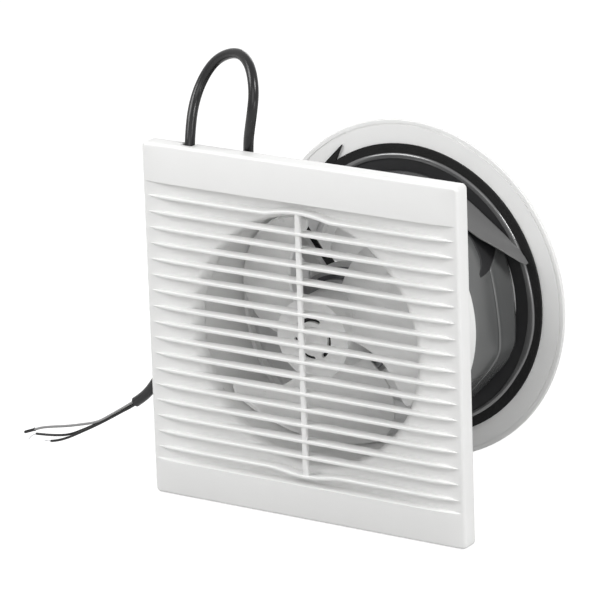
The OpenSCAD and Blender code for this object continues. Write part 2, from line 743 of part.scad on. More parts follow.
module wall_sleeve() {
    color([0.16, 0.17, 0.17]) {
        difference() {
            union() {
                round_y() translate([sleeve_in_r, sleeve_y]) square([sheet_t + eps, sleeve_end_y - sleeve_y]);
                intersection() {
                    round_y() translate([sleeve_mid_r, sleeve_y]) square([sheet_t, sleeve_end_y - sleeve_y]);
                    plate_y(sleeve_y - 1, sleeve_end_y) polygon([[0, 0], polar(2 * tube_r, lap_from),
                        polar(2 * tube_r, (lap_from + lap_to) / 2), polar(2 * tube_r, lap_to)]);
                }
            }
            rotate([0, -entry_angle, 0]) translate([sleeve_in_r - 5, sleeve_y - 1, -sleeve_slot_w / 2])
                cube([10, sleeve_slot_end_y - sleeve_y + 1, sleeve_slot_w]);
        }
        sleeve_corner(0);
    }
}

function corner_share(t) = lookup(t, [[0, -0.016], [0.17, 0.03], [0.34, 0.13], [0.51, 0.3], [0.66, 0.51],
    [0.8, 0.75], [0.91, 0.9], [1, 1]]);
function corner_face(t, r) = polar(r + corner_lift * corner_share(t), lap_from - corner_angle * t);

// The loose corner curves away from the tube, and its front edge runs back to a tip
module sleeve_corner(gap) {
    outer = sleeve_out_r + gap;
    inner = sleeve_mid_r - gap;
    reach = corner_face(1, outer)[0];
    near = corner_face(0, inner)[0] - 3;
    intersection() {
        plate_y(corner_root_y - 1, corner_back_y + gap - corner_root_y + 1) polygon(concat(
            [polar(outer + corner_lift * corner_share(0), lap_from + corner_root)],
            [for (i = [0:corner_steps]) corner_face(i / corner_steps, outer)],
            [for (i = [0:corner_steps]) corner_face(1 - i / corner_steps, inner)],
            [polar(inner + corner_lift * corner_share(0), lap_from + corner_root)]));
        translate([0, 0, -edge]) linear_extrude(panel_w) polygon(concat([[near, corner_root_y],
            [near, corner_back_y + gap], [reach, corner_back_y + gap]],
            [for (c = corner_front) [reach - c[0], corner_back_y - c[1]]]));
    }
}

module outer_collar() {
    color([0.1, 0.1, 0.1]) difference() {
        round_y() union() {
            translate([collar_in_r, collar_end_y - collar_len])
                square([collar_out_r - collar_in_r, collar_len]);
            translate([collar_web_r, collar_end_y - collar_web_t])
                square([bead_r - collar_web_r, collar_web_t]);
            polygon([[bead_r - bead_w, collar_end_y - 1],
                [bead_r - bead_w + 0.4, collar_end_y - bead_t - 0.4],
                [bead_r - bead_w / 2, collar_end_y - bead_t - 0.9],
                [bead_r, collar_end_y - bead_t], [bead_r, collar_end_y - 1]]);
        }
        sleeve_corner(part_gap);
        for (a = collar_screw_angles)
            at_polar(collar_screw_circle, a) rod_y(collar_screw_r, collar_screw_y - 0.1, collar_end_y + 1);
    }
}

// The foam strip's end leaves the ring on a tangent and stands off as a pointed tail
module foam_ring() {
    tail_from = 146;
    tail_to = 119.5;
    tail_out = foam_r + 6.4;
    foam_y = wall_depth - foam_t;
    color([0.12, 0.12, 0.12]) union() {
        round_y() translate([foam_r - foam_w, foam_y]) square([foam_w, foam_t]);
        plate_y(foam_y, foam_t) polygon([polar(foam_r - 3, tail_from), polar(foam_r + 1.6, 135),
            polar(foam_r + 3.2, 129), polar(tail_out, tail_to), polar(foam_r + 0.6, 124.6),
            polar(foam_r - 3, 128)]);
    }
}

module outer_flange() {
    cap_z = flap_top_z + barrel_r + flap_gap;
    color("white") difference() {
        union() {
            round_y() difference() {
                union() {
                    translate([flange_bore_r, wall_depth]) square([flange_r - flange_bore_r - 0.6, flange_t]);
                    translate([flange_r - 1, wall_depth + 0.5]) square([1, flange_t - 1]);
                    translate([flange_bore_r, wall_depth]) square([collar_wall, flange_depth]);
                    translate([flange_bore_r - stop_w, flap_y - flap_t / 2 - stop_gap - stop_t])
                        square([stop_w + 1, stop_t]);
                }
                translate([flange_r - groove_inset - groove_w, wall_depth - 1])
                    square([groove_w, 1 + groove_d]);
            }
            plate_y(flap_y - flap_t / 2, flap_t) intersection() {
                circle(flange_bore_r + 1, $fn = round_fn);
                translate([-flange_r, cap_z]) square([2 * flange_r, flange_r]);
            }
            for (k = [0:flange_ribs - 1]) rotate([0, -(k + 0.5) * 360 / flange_ribs, 0])
                translate([0, 0, -1]) linear_extrude(2) polygon([
                    [flange_bore_r + 1, wall_depth + 1], [flange_r - 6, wall_depth + flange_t],
                    [flange_bore_r + collar_wall, flange_end_y - 1], [flange_bore_r + 1, flange_end_y - 1]]);
        }
        for (k = [0:4]) translate([-flange_r, flap_y, flap_z(k)])
            rotate([0, 90, 0]) cylinder(r = wire_r, h = 2 * flange_r, $fn = 32);
        for (a = collar_screw_angles)
            at_polar(collar_screw_circle, a) rod_y(collar_screw_r + 0.1, wall_depth - 1, flange_end_y + 1);
        for (a = collar_screw_angles)
            at_polar(collar_screw_circle, a)
                rod_y(collar_screw_head_r + 0.3, wall_depth + flange_t, flange_end_y + 1);
    }
}

module collar_screws() {
    color("silver") for (a = collar_screw_angles) at_polar(collar_screw_circle, a) {
        rod_y(collar_screw_r, collar_screw_y, wall_depth + flange_t + 0.5);
        rod_y(collar_screw_head_r, wall_depth + flange_t, wall_depth + flange_t + collar_screw_head_t);
    }
}

function flap_z(k) = flap_top_z - k * flap_pitch;
function half_chord(r, z) = sqrt(pow(r, 2) - pow(z, 2));

module flap_wires() {
    color("silver") for (k = [0:4]) {
        reach = half_chord(flange_bore_r + collar_wall, abs(flap_z(k)) + wire_r) - 0.5;
        translate([-reach, flap_y, flap_z(k)]) rotate([0, 90, 0]) cylinder(r = wire_r, h = 2 * reach, $fn = 32);
    }
}

module flap(k) {
    z = flap_z(k);
    low = k < 4 ? z - flap_pitch + barrel_r + flap_gap : -flap_r;
    barrel = half_chord(flap_r, abs(z) + barrel_r) - flap_side_gap;
    color("gainsboro") difference() {
        union() {
            plate_y(flap_y - flap_t / 2, flap_t) intersection() {
                circle(flap_r, $fn = round_fn);
                union() {
                    translate([-flap_r, low]) square([2 * flap_r, z - flap_neck - low]);
                    translate([-barrel, low]) square([2 * barrel, z - low]);
                }
            }
            translate([-barrel, flap_y, z]) rotate([0, 90, 0]) cylinder(r = barrel_r, h = 2 * barrel, $fn = 32);
        }
        translate([-flap_r - 1, flap_y, z])
            rotate([0, 90, 0]) cylinder(r = wire_r + wire_fit, h = 2 * flap_r + 2, $fn = 32);
    }
}

module flap_1() flap(0);
module flap_2() flap(1);
module flap_3() flap(2);
module flap_4() flap(3);
module flap_5() flap(4);

// Gland on the motor's rear cap that grips the cord's end
module cord_gland() {
    color("dimgray") difference() {
        rod_radial(entry_angle, entry_y, motor_r - 0.5, motor_r + gland_len, gland_r);
        rod_radial(entry_angle, entry_y, motor_r - 3, motor_r + gland_len + 1, cord_r);
        rod_y(motor_r, entry_y - 10, entry_y + 10, round_fn);
    }
}

// From the motor out to the middle of the tube's grommet
module cord_feed() {
    color([0.1, 0.1, 0.1]) swept(cord_route, cord_r, 10, 0, feed_end);
}

// Free loop from the grommet to the notch in the panel's top
module cord_loop() {
    color([0.1, 0.1, 0.1]) swept(cord_route, cord_r, 10, feed_end, loop_end);
}

// Held between the base plate and the panel's side
module cord_channel() {
    color([0.1, 0.1, 0.1]) swept(cord_route, cord_r, 10, loop_end, channel_end);
}

module cord_tail() {
    color([0.1, 0.1, 0.1]) swept(cord_route, cord_r, 10, channel_end, len(cord_route) - 1);
}

module core_grey() {
    color("gray") swept(grey_route, core_d / 2, 8, 0, len(grey_route) - 1);
}

module core_black() {
    color([0.12, 0.12, 0.12]) swept(black_route, core_d / 2, 8, 0, len(black_route) - 1);
}

module core_dark() {
    color([0.15, 0.15, 0.16]) swept(dark_route, core_d / 2, 8, 0, len(dark_route) - 1);
}

// Crimped ferrule on the grey core's end
module core_ferrule() {
    last = len(grey_route) - 1;
    dir = unit(grey_route[last] - grey_route[last - 1]);
    ferrule_route = [grey_route[last], grey_route[last] + ferrule_len * dir];
    color([0.15, 0.15, 0.15]) swept(ferrule_route, core_d / 2 + ferrule_wall, 8, 0, 1);
}

front_grille();
base_frame();
tube_grommet();
motor_spider();
spider_screws();
motor_front_cap();
motor_rear_cap();
motor_bolts();
stator_core();
stator_coils();
front_bush();
rear_bush();
rotor_core();
motor_shaft();
thrust_washers();
impeller_hub();
impeller_blades();
impeller_clip();
wall_sleeve();
outer_collar();
foam_ring();
outer_flange();
collar_screws();
flap_wires();
flap_1();
flap_2();
flap_3();
flap_4();
flap_5();
cord_gland();
cord_feed();
cord_loop();
cord_channel();
cord_tail();
core_grey();
core_black();
core_dark();
core_ferrule();
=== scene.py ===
import math
import bpy
import bmesh
from mathutils import Vector, Matrix
from mathutils.geometry import delaunay_2d_cdt


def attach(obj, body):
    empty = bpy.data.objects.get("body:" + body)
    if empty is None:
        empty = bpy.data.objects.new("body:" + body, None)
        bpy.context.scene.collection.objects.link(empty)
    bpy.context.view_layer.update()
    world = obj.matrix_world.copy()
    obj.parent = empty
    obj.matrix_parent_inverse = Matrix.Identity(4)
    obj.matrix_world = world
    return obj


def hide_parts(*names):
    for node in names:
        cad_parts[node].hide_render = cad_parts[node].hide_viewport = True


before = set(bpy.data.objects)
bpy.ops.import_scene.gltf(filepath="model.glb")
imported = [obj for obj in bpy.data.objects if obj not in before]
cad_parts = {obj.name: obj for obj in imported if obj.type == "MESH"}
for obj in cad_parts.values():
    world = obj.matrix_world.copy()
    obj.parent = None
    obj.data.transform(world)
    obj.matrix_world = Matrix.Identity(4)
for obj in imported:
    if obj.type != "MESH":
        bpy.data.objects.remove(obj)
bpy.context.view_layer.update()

# Points and sizes are in millimetres, unless a comment says metres, and angles are in degrees
MM = 0.001


# ---------------------------------------------------------------- camera
CAMERA_PLACE = (1.6087, -2.4086, 0.9298)      # metres
CAMERA_AZIMUTH = 33.86
CAMERA_ELEVATION = 17.36
CAMERA_ROLL = -1.94
CAMERA_ANGLE = 6.592


def make_camera():
    az, el, roll = (math.radians(v) for v in (CAMERA_AZIMUTH, CAMERA_ELEVATION, CAMERA_ROLL))
    pos = Vector(CAMERA_PLACE)
    back = Vector((math.sin(az) * math.cos(el), -math.cos(az) * math.cos(el), math.sin(el)))
    fwd = -back
    level_right = fwd.cross(Vector((0, 0, 1))).normalized()
    level_up = level_right.cross(fwd)
    right = level_right * math.cos(roll) + level_up * math.sin(roll)
    up = -level_right * math.sin(roll) + level_up * math.cos(roll)
    data = bpy.data.cameras.new("camera")
    data.angle = math.radians(CAMERA_ANGLE)
    data.clip_start = 0.1
    data.clip_end = 60
    cam = bpy.data.objects.new("camera", data)
    bpy.context.scene.collection.objects.link(cam)
    cam.matrix_world = Matrix((
        (right.x, up.x, back.x, pos.x),
        (right.y, up.y, back.y, pos.y),
        (right.z, up.z, back.z, pos.z),
        (0, 0, 0, 1)))
    bpy.context.scene.camera = cam


make_camera()
bpy.context.scene.view_settings.view_transform = "Standard"


# ---------------------------------------------------------------- curves and tables
def lerp(a, b, t):
    return a + (b - a) * t


def smoothstep(t):
    """0 below 0, 1 above 1, and a soft rise between."""
    t = max(0.0, min(1.0, t))
    return t * t * (3 - 2 * t)


def smax(a, b, k):
    """The larger of two values, blended where they are less than k apart."""
    h = max(k - abs(a - b), 0.0) / k
    return max(a, b) + h * h * k * 0.25


def smin(a, b, k):
    return -smax(-a, -b, k)


def hermite(t, p0, m0, p1, m1):
    return ((2 * t ** 3 - 3 * t ** 2 + 1) * p0 + (t ** 3 - 2 * t ** 2 + t) * m0
            + (3 * t ** 2 - 2 * t ** 3) * p1 + (t ** 3 - t ** 2) * m1)


def lookup(x, table):
    """Straight lines through a table of (x, y)."""
    if x <= table[0][0]:
        return table[0][1]
    for (x0, y0), (x1, y1) in zip(table, table[1:]):
        if x <= x1:
            return y0 + (y1 - y0) * (x - x0) / (x1 - x0)
    return table[-1][1]


def smooth_lookup(x, table):
    """A smooth curve through a table of (x, y)."""
    n = len(table)
    if x <= table[0][0]:
        return table[0][1]
    if x >= table[-1][0]:
        return table[-1][1]
    i = 0
    while i < n - 2 and x > table[i + 1][0]:
        i += 1
    (x1, y1), (x2, y2) = table[i], table[i + 1]
    h = x2 - x1
    m1 = (y2 - table[i - 1][1]) / (x2 - table[i - 1][0]) if i > 0 else (y2 - y1) / h
    m2 = (table[i + 2][1] - y1) / (table[i + 2][0] - x1) if i + 2 < n else (y2 - y1) / h
    return hermite((x - x1) / h, y1, h * m1, y2, h * m2)


def line_length(points):
    return sum((b - a).length for a, b in zip(points, points[1:]))


def catmull(points, step):
    """A smooth line through the points, sampled about every step."""
    pts = [Vector(p) for p in points]
    spans = [b - a for a, b in zip(pts, pts[1:])]
    tangents = [spans[0]]
    for p, q in zip(spans, spans[1:]):
        a, b = p.length, q.length
        tangents.append((p / a * b + q / b * a) / (a + b))
    tangents.append(spans[-1])
    out = []
    for i, span in enumerate(spans):
        m0, m1 = (t.normalized() * span.length for t in tangents[i:i + 2])
        count = max(2, int(round(span.length / step)))
        for k in range(count):
            out.append(hermite(k / count, pts[i], m0, pts[i + 1], m1))
    out.append(pts[-1])
    return out


def relax(points, rounds):
    """Evens out small kinks and keeps both ends."""
    pts = list(points)
    for _ in range(rounds):
        middle = [(a + 2 * b + c) / 4 for a, b, c in zip(pts, pts[1:], pts[2:])]
        pts = [pts[0]] + middle + [pts[-1]]
    return pts


# ---------------------------------------------------------------- mesh helpers
JOIN = 0.00001           # metres: points nearer than this are made one
JOIN_FINE = 0.000001


def mesh_obj(name, verts, faces, sharp=35.0):
    """A mesh piece from points in millimetres, shaded smooth with sharp edges above an angle."""
    me = bpy.data.meshes.new(name)
    me.from_pydata([(x * MM, y * MM, z * MM) for x, y, z in verts], [], faces)
    me.update()
    me.polygons.foreach_set("use_smooth", [True] * len(me.polygons))
    me.set_sharp_from_angle(angle=math.radians(sharp))
    obj = bpy.data.objects.new(name, me)
    bpy.context.scene.collection.objects.link(obj)
    return obj


def clean(obj, dist=JOIN):
    """Joins double points and turns all faces outwards."""
    bm = bmesh.new()
    bm.from_mesh(obj.data)
    bmesh.ops.remove_doubles(bm, verts=bm.verts, dist=dist)
    bmesh.ops.recalc_face_normals(bm, faces=bm.faces)
    bm.to_mesh(obj.data)
    bm.free()
    obj.data.update()


def quads(rings, size, base=0, closed=False, wrap=False, flip=False, skip=None):
    """Faces between rings of points that lie one after the other from base on. Closed rings meet
    themselves, wrap joins the last ring to the first, flip turns the faces over, and
    skip(ring, point) says which faces are left out."""
    faces = []
    for i in range(rings if wrap else rings - 1):
        j = (i + 1) % rings
        for k in range(size if closed else size - 1):
            if skip and skip(i, k):
                continue
            m = (k + 1) % size
            here, there = base + i * size, base + j * size
            a, b, c, d = here + k, there + k, there + m, here + m
            faces.append((a, d, c, b) if flip else (a, b, c, d))
    return faces


def add_bar(verts, faces, sections):
    """Adds a bar with closed ends through sections, which are rings of equally many points."""
    base, size = len(verts), len(sections[0])
    last = base + (len(sections) - 1) * size
    for section in sections:
        verts.extend(section)
    faces.extend(quads(len(sections), size, base, closed=True))
    faces.append(tuple(base + k for k in range(size)))
    faces.append(tuple(last + k for k in range(size - 1, -1, -1)))


def lathe(name, profile, segments=128, sharp=35.0):
    """Turns a closed outline of (radius, y) round the fan axis. Where the outline differs by
    angle, profile is a function of the angle."""
    verts = []
    for i in range(segments):
        angle = 360.0 * i / segments
        outline = profile(angle) if callable(profile) else profile
        a = math.radians(angle)
        verts.extend((r * math.cos(a), y, r * math.sin(a)) for r, y in outline)
    faces = quads(segments, len(outline), closed=True, wrap=True, flip=True)
    obj = mesh_obj(name, verts, faces, sharp)
    clean(obj)
    return obj


def tube_mesh(name, line, radius, sides):
    """A round tube along a line; radius is a number or a function of the part of the way."""
    total = line_length(line)
    u = (line[1] - line[0]).normalized().orthogonal().normalized()
    gone = 0.0
    sections = []
    for i, p in enumerate(line):
        before, after = line[max(i - 1, 0)], line[min(i + 1, len(line) - 1)]
        gone += (p - before).length
        t = (after - before).normalized()
        u = (u - t * u.dot(t)).normalized()
        v = t.cross(u)
        r = radius(gone / total) if callable(radius) else radius
        turns = [2 * math.pi * k / sides for k in range(sides)]
        sections.append([tuple(p + u * (r * math.cos(w)) + v * (r * math.sin(w))) for w in turns])
    verts, faces = [], []
    add_bar(verts, faces, sections)
    obj = mesh_obj(name, verts, faces, 50.0)
    clean(obj)
    return obj


def add_wall(obj, thickness, offset=-1.0):
    """Gives a sheet its thickness: -1 puts all of it behind the faces, 0 half on each side."""
    wall = obj.modifiers.new("wall", "SOLIDIFY")
    wall.thickness = thickness * MM
    wall.offset = offset
    return wall


def add_bevel(obj, width, angle, segments=2):
    """Rounds the edges that are sharper than an angle."""
    bevel = obj.modifiers.new("round", "BEVEL")
    bevel.width = width * MM
    bevel.segments = segments
    bevel.limit_method = "ANGLE"
    bevel.angle_limit = math.radians(angle)
    return bevel


# ---------------------------------------------------------------- materials
NOISE_SPAN = (0.3, 0.7)      # the part of a noise's values that tones and gloss are spread over


def new_material(name):
    mat = bpy.data.materials.new(name)
    mat.use_nodes = True
    nt = mat.node_tree
    return mat, nt, nt.nodes["Principled BSDF"]


def add_noise(nt, scale, detail, rough=0.55, stretch=(1, 1, 1)):
    place = nt.nodes.new("ShaderNodeTexCoord")
    mapping = nt.nodes.new("ShaderNodeMapping")
    mapping.inputs["Scale"].default_value = stretch
    noise = nt.nodes.new("ShaderNodeTexNoise")
    noise.inputs["Scale"].default_value = scale
    noise.inputs["Detail"].default_value = detail
    noise.inputs["Roughness"].default_value = rough
    nt.links.new(place.outputs["Object"], mapping.inputs["Vector"])
    nt.links.new(mapping.outputs["Vector"], noise.inputs["Vector"])
    return noise.outputs["Fac"]


def two_tones(nt, fac, dark, light):
    """A colour between dark and light, by a noise's value."""
    ramp = nt.nodes.new("ShaderNodeValToRGB")
    for stop, place, tone in zip(ramp.color_ramp.elements, NOISE_SPAN, (dark, light)):
        stop.position = place
        stop.color = (*tone, 1)
    nt.links.new(fac, ramp.inputs["Fac"])
    return ramp.outputs["Color"]


def spread_values(nt, fac, low, high):
    """A value between low and high, by a noise's value."""
    spread = nt.nodes.new("ShaderNodeMapRange")
    spread.inputs["From Min"].default_value, spread.inputs["From Max"].default_value = NOISE_SPAN
    spread.inputs["To Min"].default_value = low
    spread.inputs["To Max"].default_value = high
    nt.links.new(fac, spread.inputs["Value"])
    return spread.outputs["Result"]


def add_bump(nt, height, strength, distance, bsdf, normal=None):
    bump = nt.nodes.new("ShaderNodeBump")
    bump.inputs["Strength"].default_value = strength
    bump.inputs["Distance"].default_value = distance
    nt.links.new(height, bump.inputs["Height"])
    if normal is not None:
        nt.links.new(normal, bump.inputs["Normal"])
    nt.links.new(bump.outputs["Normal"], bsdf.inputs["Normal"])
    return bump.outputs["Normal"]


def moulded(name, dark, light, rough, spread=0.05, grain=0.00002, spec=0.5, coat=0.0):
    """Moulded plastic: broad tone variation, fine grain in the bump, uneven gloss."""
    mat, nt, b = new_material(name)
    broad = add_noise(nt, 9.0, 3.0)
    fine = add_noise(nt, 900.0, 2.0, 0.6)
    mid = add_noise(nt, 60.0, 4.0)
    nt.links.new(two_tones(nt, broad, dark, light), b.inputs["Base Color"])
    nt.links.new(spread_values(nt, mid, rough - spread, rough + spread), b.inputs["Roughness"])
    b.inputs["Specular IOR Level"].default_value = spec
    if coat > 0:
        b.inputs["Coat Weight"].default_value = coat
        b.inputs["Coat Roughness"].default_value = 0.08
    first = add_bump(nt, mid, 0.25, 0.0001, b)
    add_bump(nt, fine, 0.5, grain, b, first)
    return mat


def metal(name, dark, light, rough, stretch=(1, 1, 1), scale=200.0, bump=0.00002, metallic=1.0):
    """Metal with one noise for tone, gloss and bump."""
    mat, nt, b = new_material(name)
    noise = add_noise(nt, scale, 4.0, 0.6, stretch)
    nt.links.new(two_tones(nt, noise, dark, light), b.inputs["Base Color"])
    nt.links.new(spread_values(nt, noise, rough - 0.07, rough + 0.07), b.inputs["Roughness"])
    b.inputs["Metallic"].default_value = metallic
    add_bump(nt, noise, 0.4, bump, b)
    return mat


def grey(v):
    """A grey that is slightly warm."""
    return (v, v, v * 0.995)


def foam():
    """Black foam with fine cells in the bump."""
    mat, nt, b = new_material("black_foam")
    cells = nt.nodes.new("ShaderNodeTexVoronoi")
    cells.inputs["Scale"].default_value = 1100.0
    place = nt.nodes.new("ShaderNodeTexCoord")
    nt.links.new(place.outputs["Object"], cells.inputs["Vector"])
    noise = add_noise(nt, 90.0, 4.0)
    nt.links.new(two_tones(nt, noise, grey(0.008), grey(0.016)), b.inputs["Base Color"])
    nt.links.new(spread_values(nt, noise, 0.8, 0.95), b.inputs["Roughness"])
    b.inputs["Specular IOR Level"].default_value = 0.25
    add_bump(nt, cells.outputs["Distance"], 0.8, 0.0003, b)
    return mat


M = {
    "white": moulded("white_plastic", (0.80, 0.80, 0.793), (0.825, 0.825, 0.818), 0.42, spec=0.45),
    "flange": moulded("flange_white", (0.885, 0.885, 0.878), (0.91, 0.91, 0.903), 0.38),
    "blade": moulded("blade_plastic", (0.88, 0.88, 0.875), (0.91, 0.91, 0.905), 0.32),
    "alu": metal("cast_aluminium", (0.50, 0.50, 0.51), (0.62, 0.62, 0.63), 0.48, scale=700.0,
                 bump=0.00004),
    "steel": metal("steel", (0.48, 0.48, 0.50), (0.62, 0.62, 0.64), 0.3, stretch=(1, 6, 1)),
    "lam": metal("laminations", (0.16, 0.16, 0.17), (0.34, 0.34, 0.36), 0.45,
                 stretch=(0.05, 9, 0.05), scale=300.0),
    "wire": metal("enamelled_wire", (0.42, 0.17, 0.06), (0.58, 0.27, 0.11), 0.3,
                  stretch=(6, 0.4, 6), scale=260.0, metallic=0.6),
    "bronze": metal("bronze", (0.48, 0.33, 0.13), (0.62, 0.46, 0.2), 0.4, scale=900.0),
    "washer": moulded("washer_plastic", (0.74, 0.71, 0.62), (0.8, 0.77, 0.7), 0.5),
    "sheet": moulded("dark_sheet", (0.098, 0.100, 0.100), (0.112, 0.114, 0.114), 0.2, 0.03,
                     0.00001, 0.7),
    # Painted light: the loose end gets a lighter copy of the dark sheet, for the light that falls
    # on its turned-up face
    "corner": moulded("dark_sheet_end_painted_light", (0.15, 0.15, 0.15), (0.17, 0.17, 0.17), 0.22, 0.03,
                      0.00001, 0.7),
    # Painted light: the duct's inside is a light grey that stands for the light reaching into the
    # duct
    "duct": moulded("duct_inside_painted_light", (0.72, 0.72, 0.72), (0.76, 0.76, 0.76), 0.35),
    "gloss": moulded("black_gloss", (0.075, 0.075, 0.076), (0.09, 0.09, 0.091), 0.14, 0.03,
                     0.00001, 1.0, coat=0.5),
    # Matte black: the collar web's own colour, and also painted shade on the hub's disc and on the
    # patch under the strip's end
    "web": moulded("black_matte_and_painted_shade", (0.010, 0.010, 0.011), (0.016, 0.016, 0.017), 0.6, 0.05,
                   0.00003, 0.3),
    "rubber": moulded("grommet_rubber", (0.035, 0.035, 0.035), (0.05, 0.05, 0.05), 0.6, 0.06,
                      0.00004, 0.35),
    "sheath": moulded("cord_sheath", (0.007, 0.007, 0.0075), (0.011, 0.011, 0.0115), 0.22, 0.04,
                      0.00003, 0.35),
    "core_black": moulded("core_black_pvc", (0.007, 0.007, 0.0075), (0.011, 0.011, 0.0115), 0.26,
                          0.04, 0.00002, 0.3),
    "core_grey": moulded("core_grey_pvc", (0.24, 0.24, 0.24), (0.3, 0.3, 0.3), 0.38),
    "foam": foam(),
}


def finish_piece(obj, mat, body, nodes=()):
    """Paints a piece, lets it ride on its body and hides the CAD nodes it stands for."""
    obj.data.materials.append(mat)
    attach(obj, body)
    if nodes:
        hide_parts(*nodes)


# ---------------------------------------------------------------- power cord
EDGE = 109.0             # half the panel's side
LEFT = -EDGE
CORD_R = 3.1
WIRE_R = 0.75
STRAND_R = 0.33
# From the motor's rear cap, through the tube and round the panel's top edge to the cut sheath
CORD_ROUTE = [
    (-19.1, 52, 24.4), (-32, 52, 41), (-39.4, 52, 50.4), (-46.8, 52, 59.9),
    (-51.7, 52, 66.2), (-56.8, 50.8, 73.4), (-60, 45.4, 81), (-60, 37, 86.5),
    (-57, 28, 89.5), (-52, 18.8, 92.5), (-47, 10.2, EDGE - 10), (-43, 4.4, EDGE - 0.5),
    (-40, 0.8, EDGE + 7.5), (-36.2, -2.4, EDGE + 17.5), (-34, -3.2, EDGE + 26.5),
    (-34, -1.3, EDGE + 35), (-36.5, 2, EDGE + 43), (-42.5, 7.5, EDGE + 50),
    (-52, 13.5, EDGE + 53.5), (-64, 17.5, EDGE + 51.5), (LEFT + 35, 18.5, EDGE + 45.5),
    (LEFT + 29, 17, EDGE + 37.5), (LEFT + 26, 14, EDGE + 29.5), (LEFT + 25.3, 10, EDGE + 22),
    (LEFT + 26.3, 5.3, EDGE + 14.8), (LEFT + 27.6, 1.4, EDGE + 7), (LEFT + 29, -2, EDGE - 1),
    (LEFT + 30, -3.2, EDGE - 10), (LEFT + 29.5, -3.4, EDGE - 18),
    (LEFT + 26.7, -3.4, EDGE - 28), (LEFT + 22, -3.4, EDGE - 37), (LEFT + 16, -3.5, EDGE - 46),
    (LEFT + 11, -3.6, EDGE - 55), (LEFT + 8.2, -3.6, EDGE - 65), (LEFT + 7.7, -3.6, 32),
    (LEFT + 7.7, -3.6, 18), (LEFT + 7.7, -3.6, 4), (LEFT + 7.7, -3.6, -10),
    (LEFT + 7, -3.6, -22), (LEFT + 4.4, -3.4, -32), (LEFT - 0.4, -3.2, -40),
    (LEFT - 5.1, -3.1, -46.5), (LEFT - 10.8, -3, -52.5), (LEFT - 17.4, -3, -57.4)]
GREY_ROUTE = [
    (LEFT - 18, -3.55, -56.6), (LEFT - 19.9, -3.55, -58), (LEFT - 27, -3.8, -62.7),
    (LEFT - 36, -3.9, -68.4), (LEFT - 45.3, -3.9, -73.9), (LEFT - 57, -3.6, -77.6),
    (LEFT - 69.4, -3.3, -80.8), (LEFT - 82, -3.1, -83.4), (LEFT - 88.6, -3, -85),
    (LEFT - 94.5, -3, -87.2)]
BLACK_ROUTE = [
    (LEFT - 17.4, -1.85, -57.4), (LEFT - 19.3, -1.85, -58.85), (LEFT - 27, -1.9, -63.7),
    (LEFT - 36, -2.1, -69.3), (LEFT - 45.3, -2.2, -74.8), (LEFT - 57, -2.2, -81.1),
    (LEFT - 69.4, -2.3, -86.6), (LEFT - 81.4, -2.5, -88.8), (LEFT - 93.2, -2.6, -89.8)]
DARK_ROUTE = [
    (LEFT - 16.8, -3.55, -58.2), (LEFT - 18.7, -3.55, -59.65), (LEFT - 27, -3.8, -64.7),
    (LEFT - 36, -3.9, -70.2), (LEFT - 45.2, -3.9, -75.6), (LEFT - 57, -3.9, -82),
    (LEFT - 69.4, -3.8, -88.3), (LEFT - 75.6, -3.6, -90.8), (LEFT - 81.7, -3.5, -92.4)]
# The bare strands at the ends of the two black wires
BLACK_STRAND = [
    (LEFT - 92.2, -2.6, -89.7), (LEFT - 94.6, -2.7, -90.4), (LEFT - 97, -2.8, -92),
    (LEFT - 99.1, -2.9, -94.1)]
DARK_STRAND = [
    (LEFT - 80.9, -3.5, -92.2), (LEFT - 83, -3.4, -92.5), (LEFT - 85, -3.3, -92.7),
    (LEFT - 86.8, -3.2, -93.1)]
# Name, route, material, slot, CAD node and strand of each wire
WIRES = [
    ("wire_grey", GREY_ROUTE, "core_grey", "core_grey_pvc", "core_grey", None),
    ("wire_black", BLACK_ROUTE, "core_black", "core_black_pvc", "core_black", BLACK_STRAND),
    ("wire_dark", DARK_ROUTE, "core_black", "core_black_pvc", "core_dark", DARK_STRAND)]
FERRULE_LENGTH = 8.4
FERRULE_LAP = 0.6        # how far it goes over the wire
FERRULE_STEPS = 12
# Radius of the ferrule up to each part of its length
FERRULE_SHAPE = [(0.04, 1.16), (0.1, 1.0), (0.94, 0.96), (math.inf, 0.7)]


def ferrule_radius(t):
    return next(r for end, r in FERRULE_SHAPE if t < end)


def build_ferrule(wire):
    """The fitting at the end of a wire's line."""
    d = (wire[-1] - wire[-3]).normalized()
    start = wire[-1] - d * FERRULE_LAP
    line = [start + d * (FERRULE_LENGTH * k / FERRULE_STEPS) for k in range(FERRULE_STEPS + 1)]
    ferrule = tube_mesh("ferrule", line, ferrule_radius, 14)
    finish_piece(ferrule, M["core_black"], "housing", ("core_ferrule",))
    return ferrule


def build_cords():
    line = relax(catmull(CORD_ROUTE, 1.5), 6)
    cord = tube_mesh("power_cord", line, CORD_R, 24)
    finish_piece(cord, M["sheath"], "housing",
                 ("cord_feed", "cord_loop", "cord_channel", "cord_tail"))
    for name, route, mat, slot, node, strand_line in WIRES:
        line = relax(catmull(route, 1.5), 3)
        wire = tube_mesh(name, line, WIRE_R, 14)
        finish_piece(wire, M[mat], "housing", (node,))
        if strand_line:
            end = tube_mesh(name + "_strand_1", catmull(strand_line, 0.8), STRAND_R, 10)
            finish_piece(end, M["steel"], "housing")
        else:
            end = build_ferrule(line)


build_cords()


# ---------------------------------------------------------------- front panel
# The front plate: its rim stands PANEL_D before the wall's plane, and its middle is crowned
PANEL_D = 10.6
BULGE = 1.8
BULGE_FROM = 85.0        # from here outwards the crown falls off ...
BULGE_FALL = 22.0        # ... over this distance
# The shallow recess behind the slats, as deep as DISH in the middle
DISH = 5.6
DISH_HALF = 107.0
FIELD_TOP = 85.8
FIELD_BOTTOM = -87.2
FIELD_SLOPE = 0.9        # width of the short slopes at its top and bottom edges
# The air inlet: a quarter of an ellipse from MOUTH_R in to LIP_R
LIP_R = 75.05
MOUTH_R = 84.5
MOUTH_ROUND = 8.5
MOUTH_Y = -0.1
MOUTH_BLEND = 1.6
MOUTH_FALL = 0.03        # how fast the surface falls back outside MOUTH_R
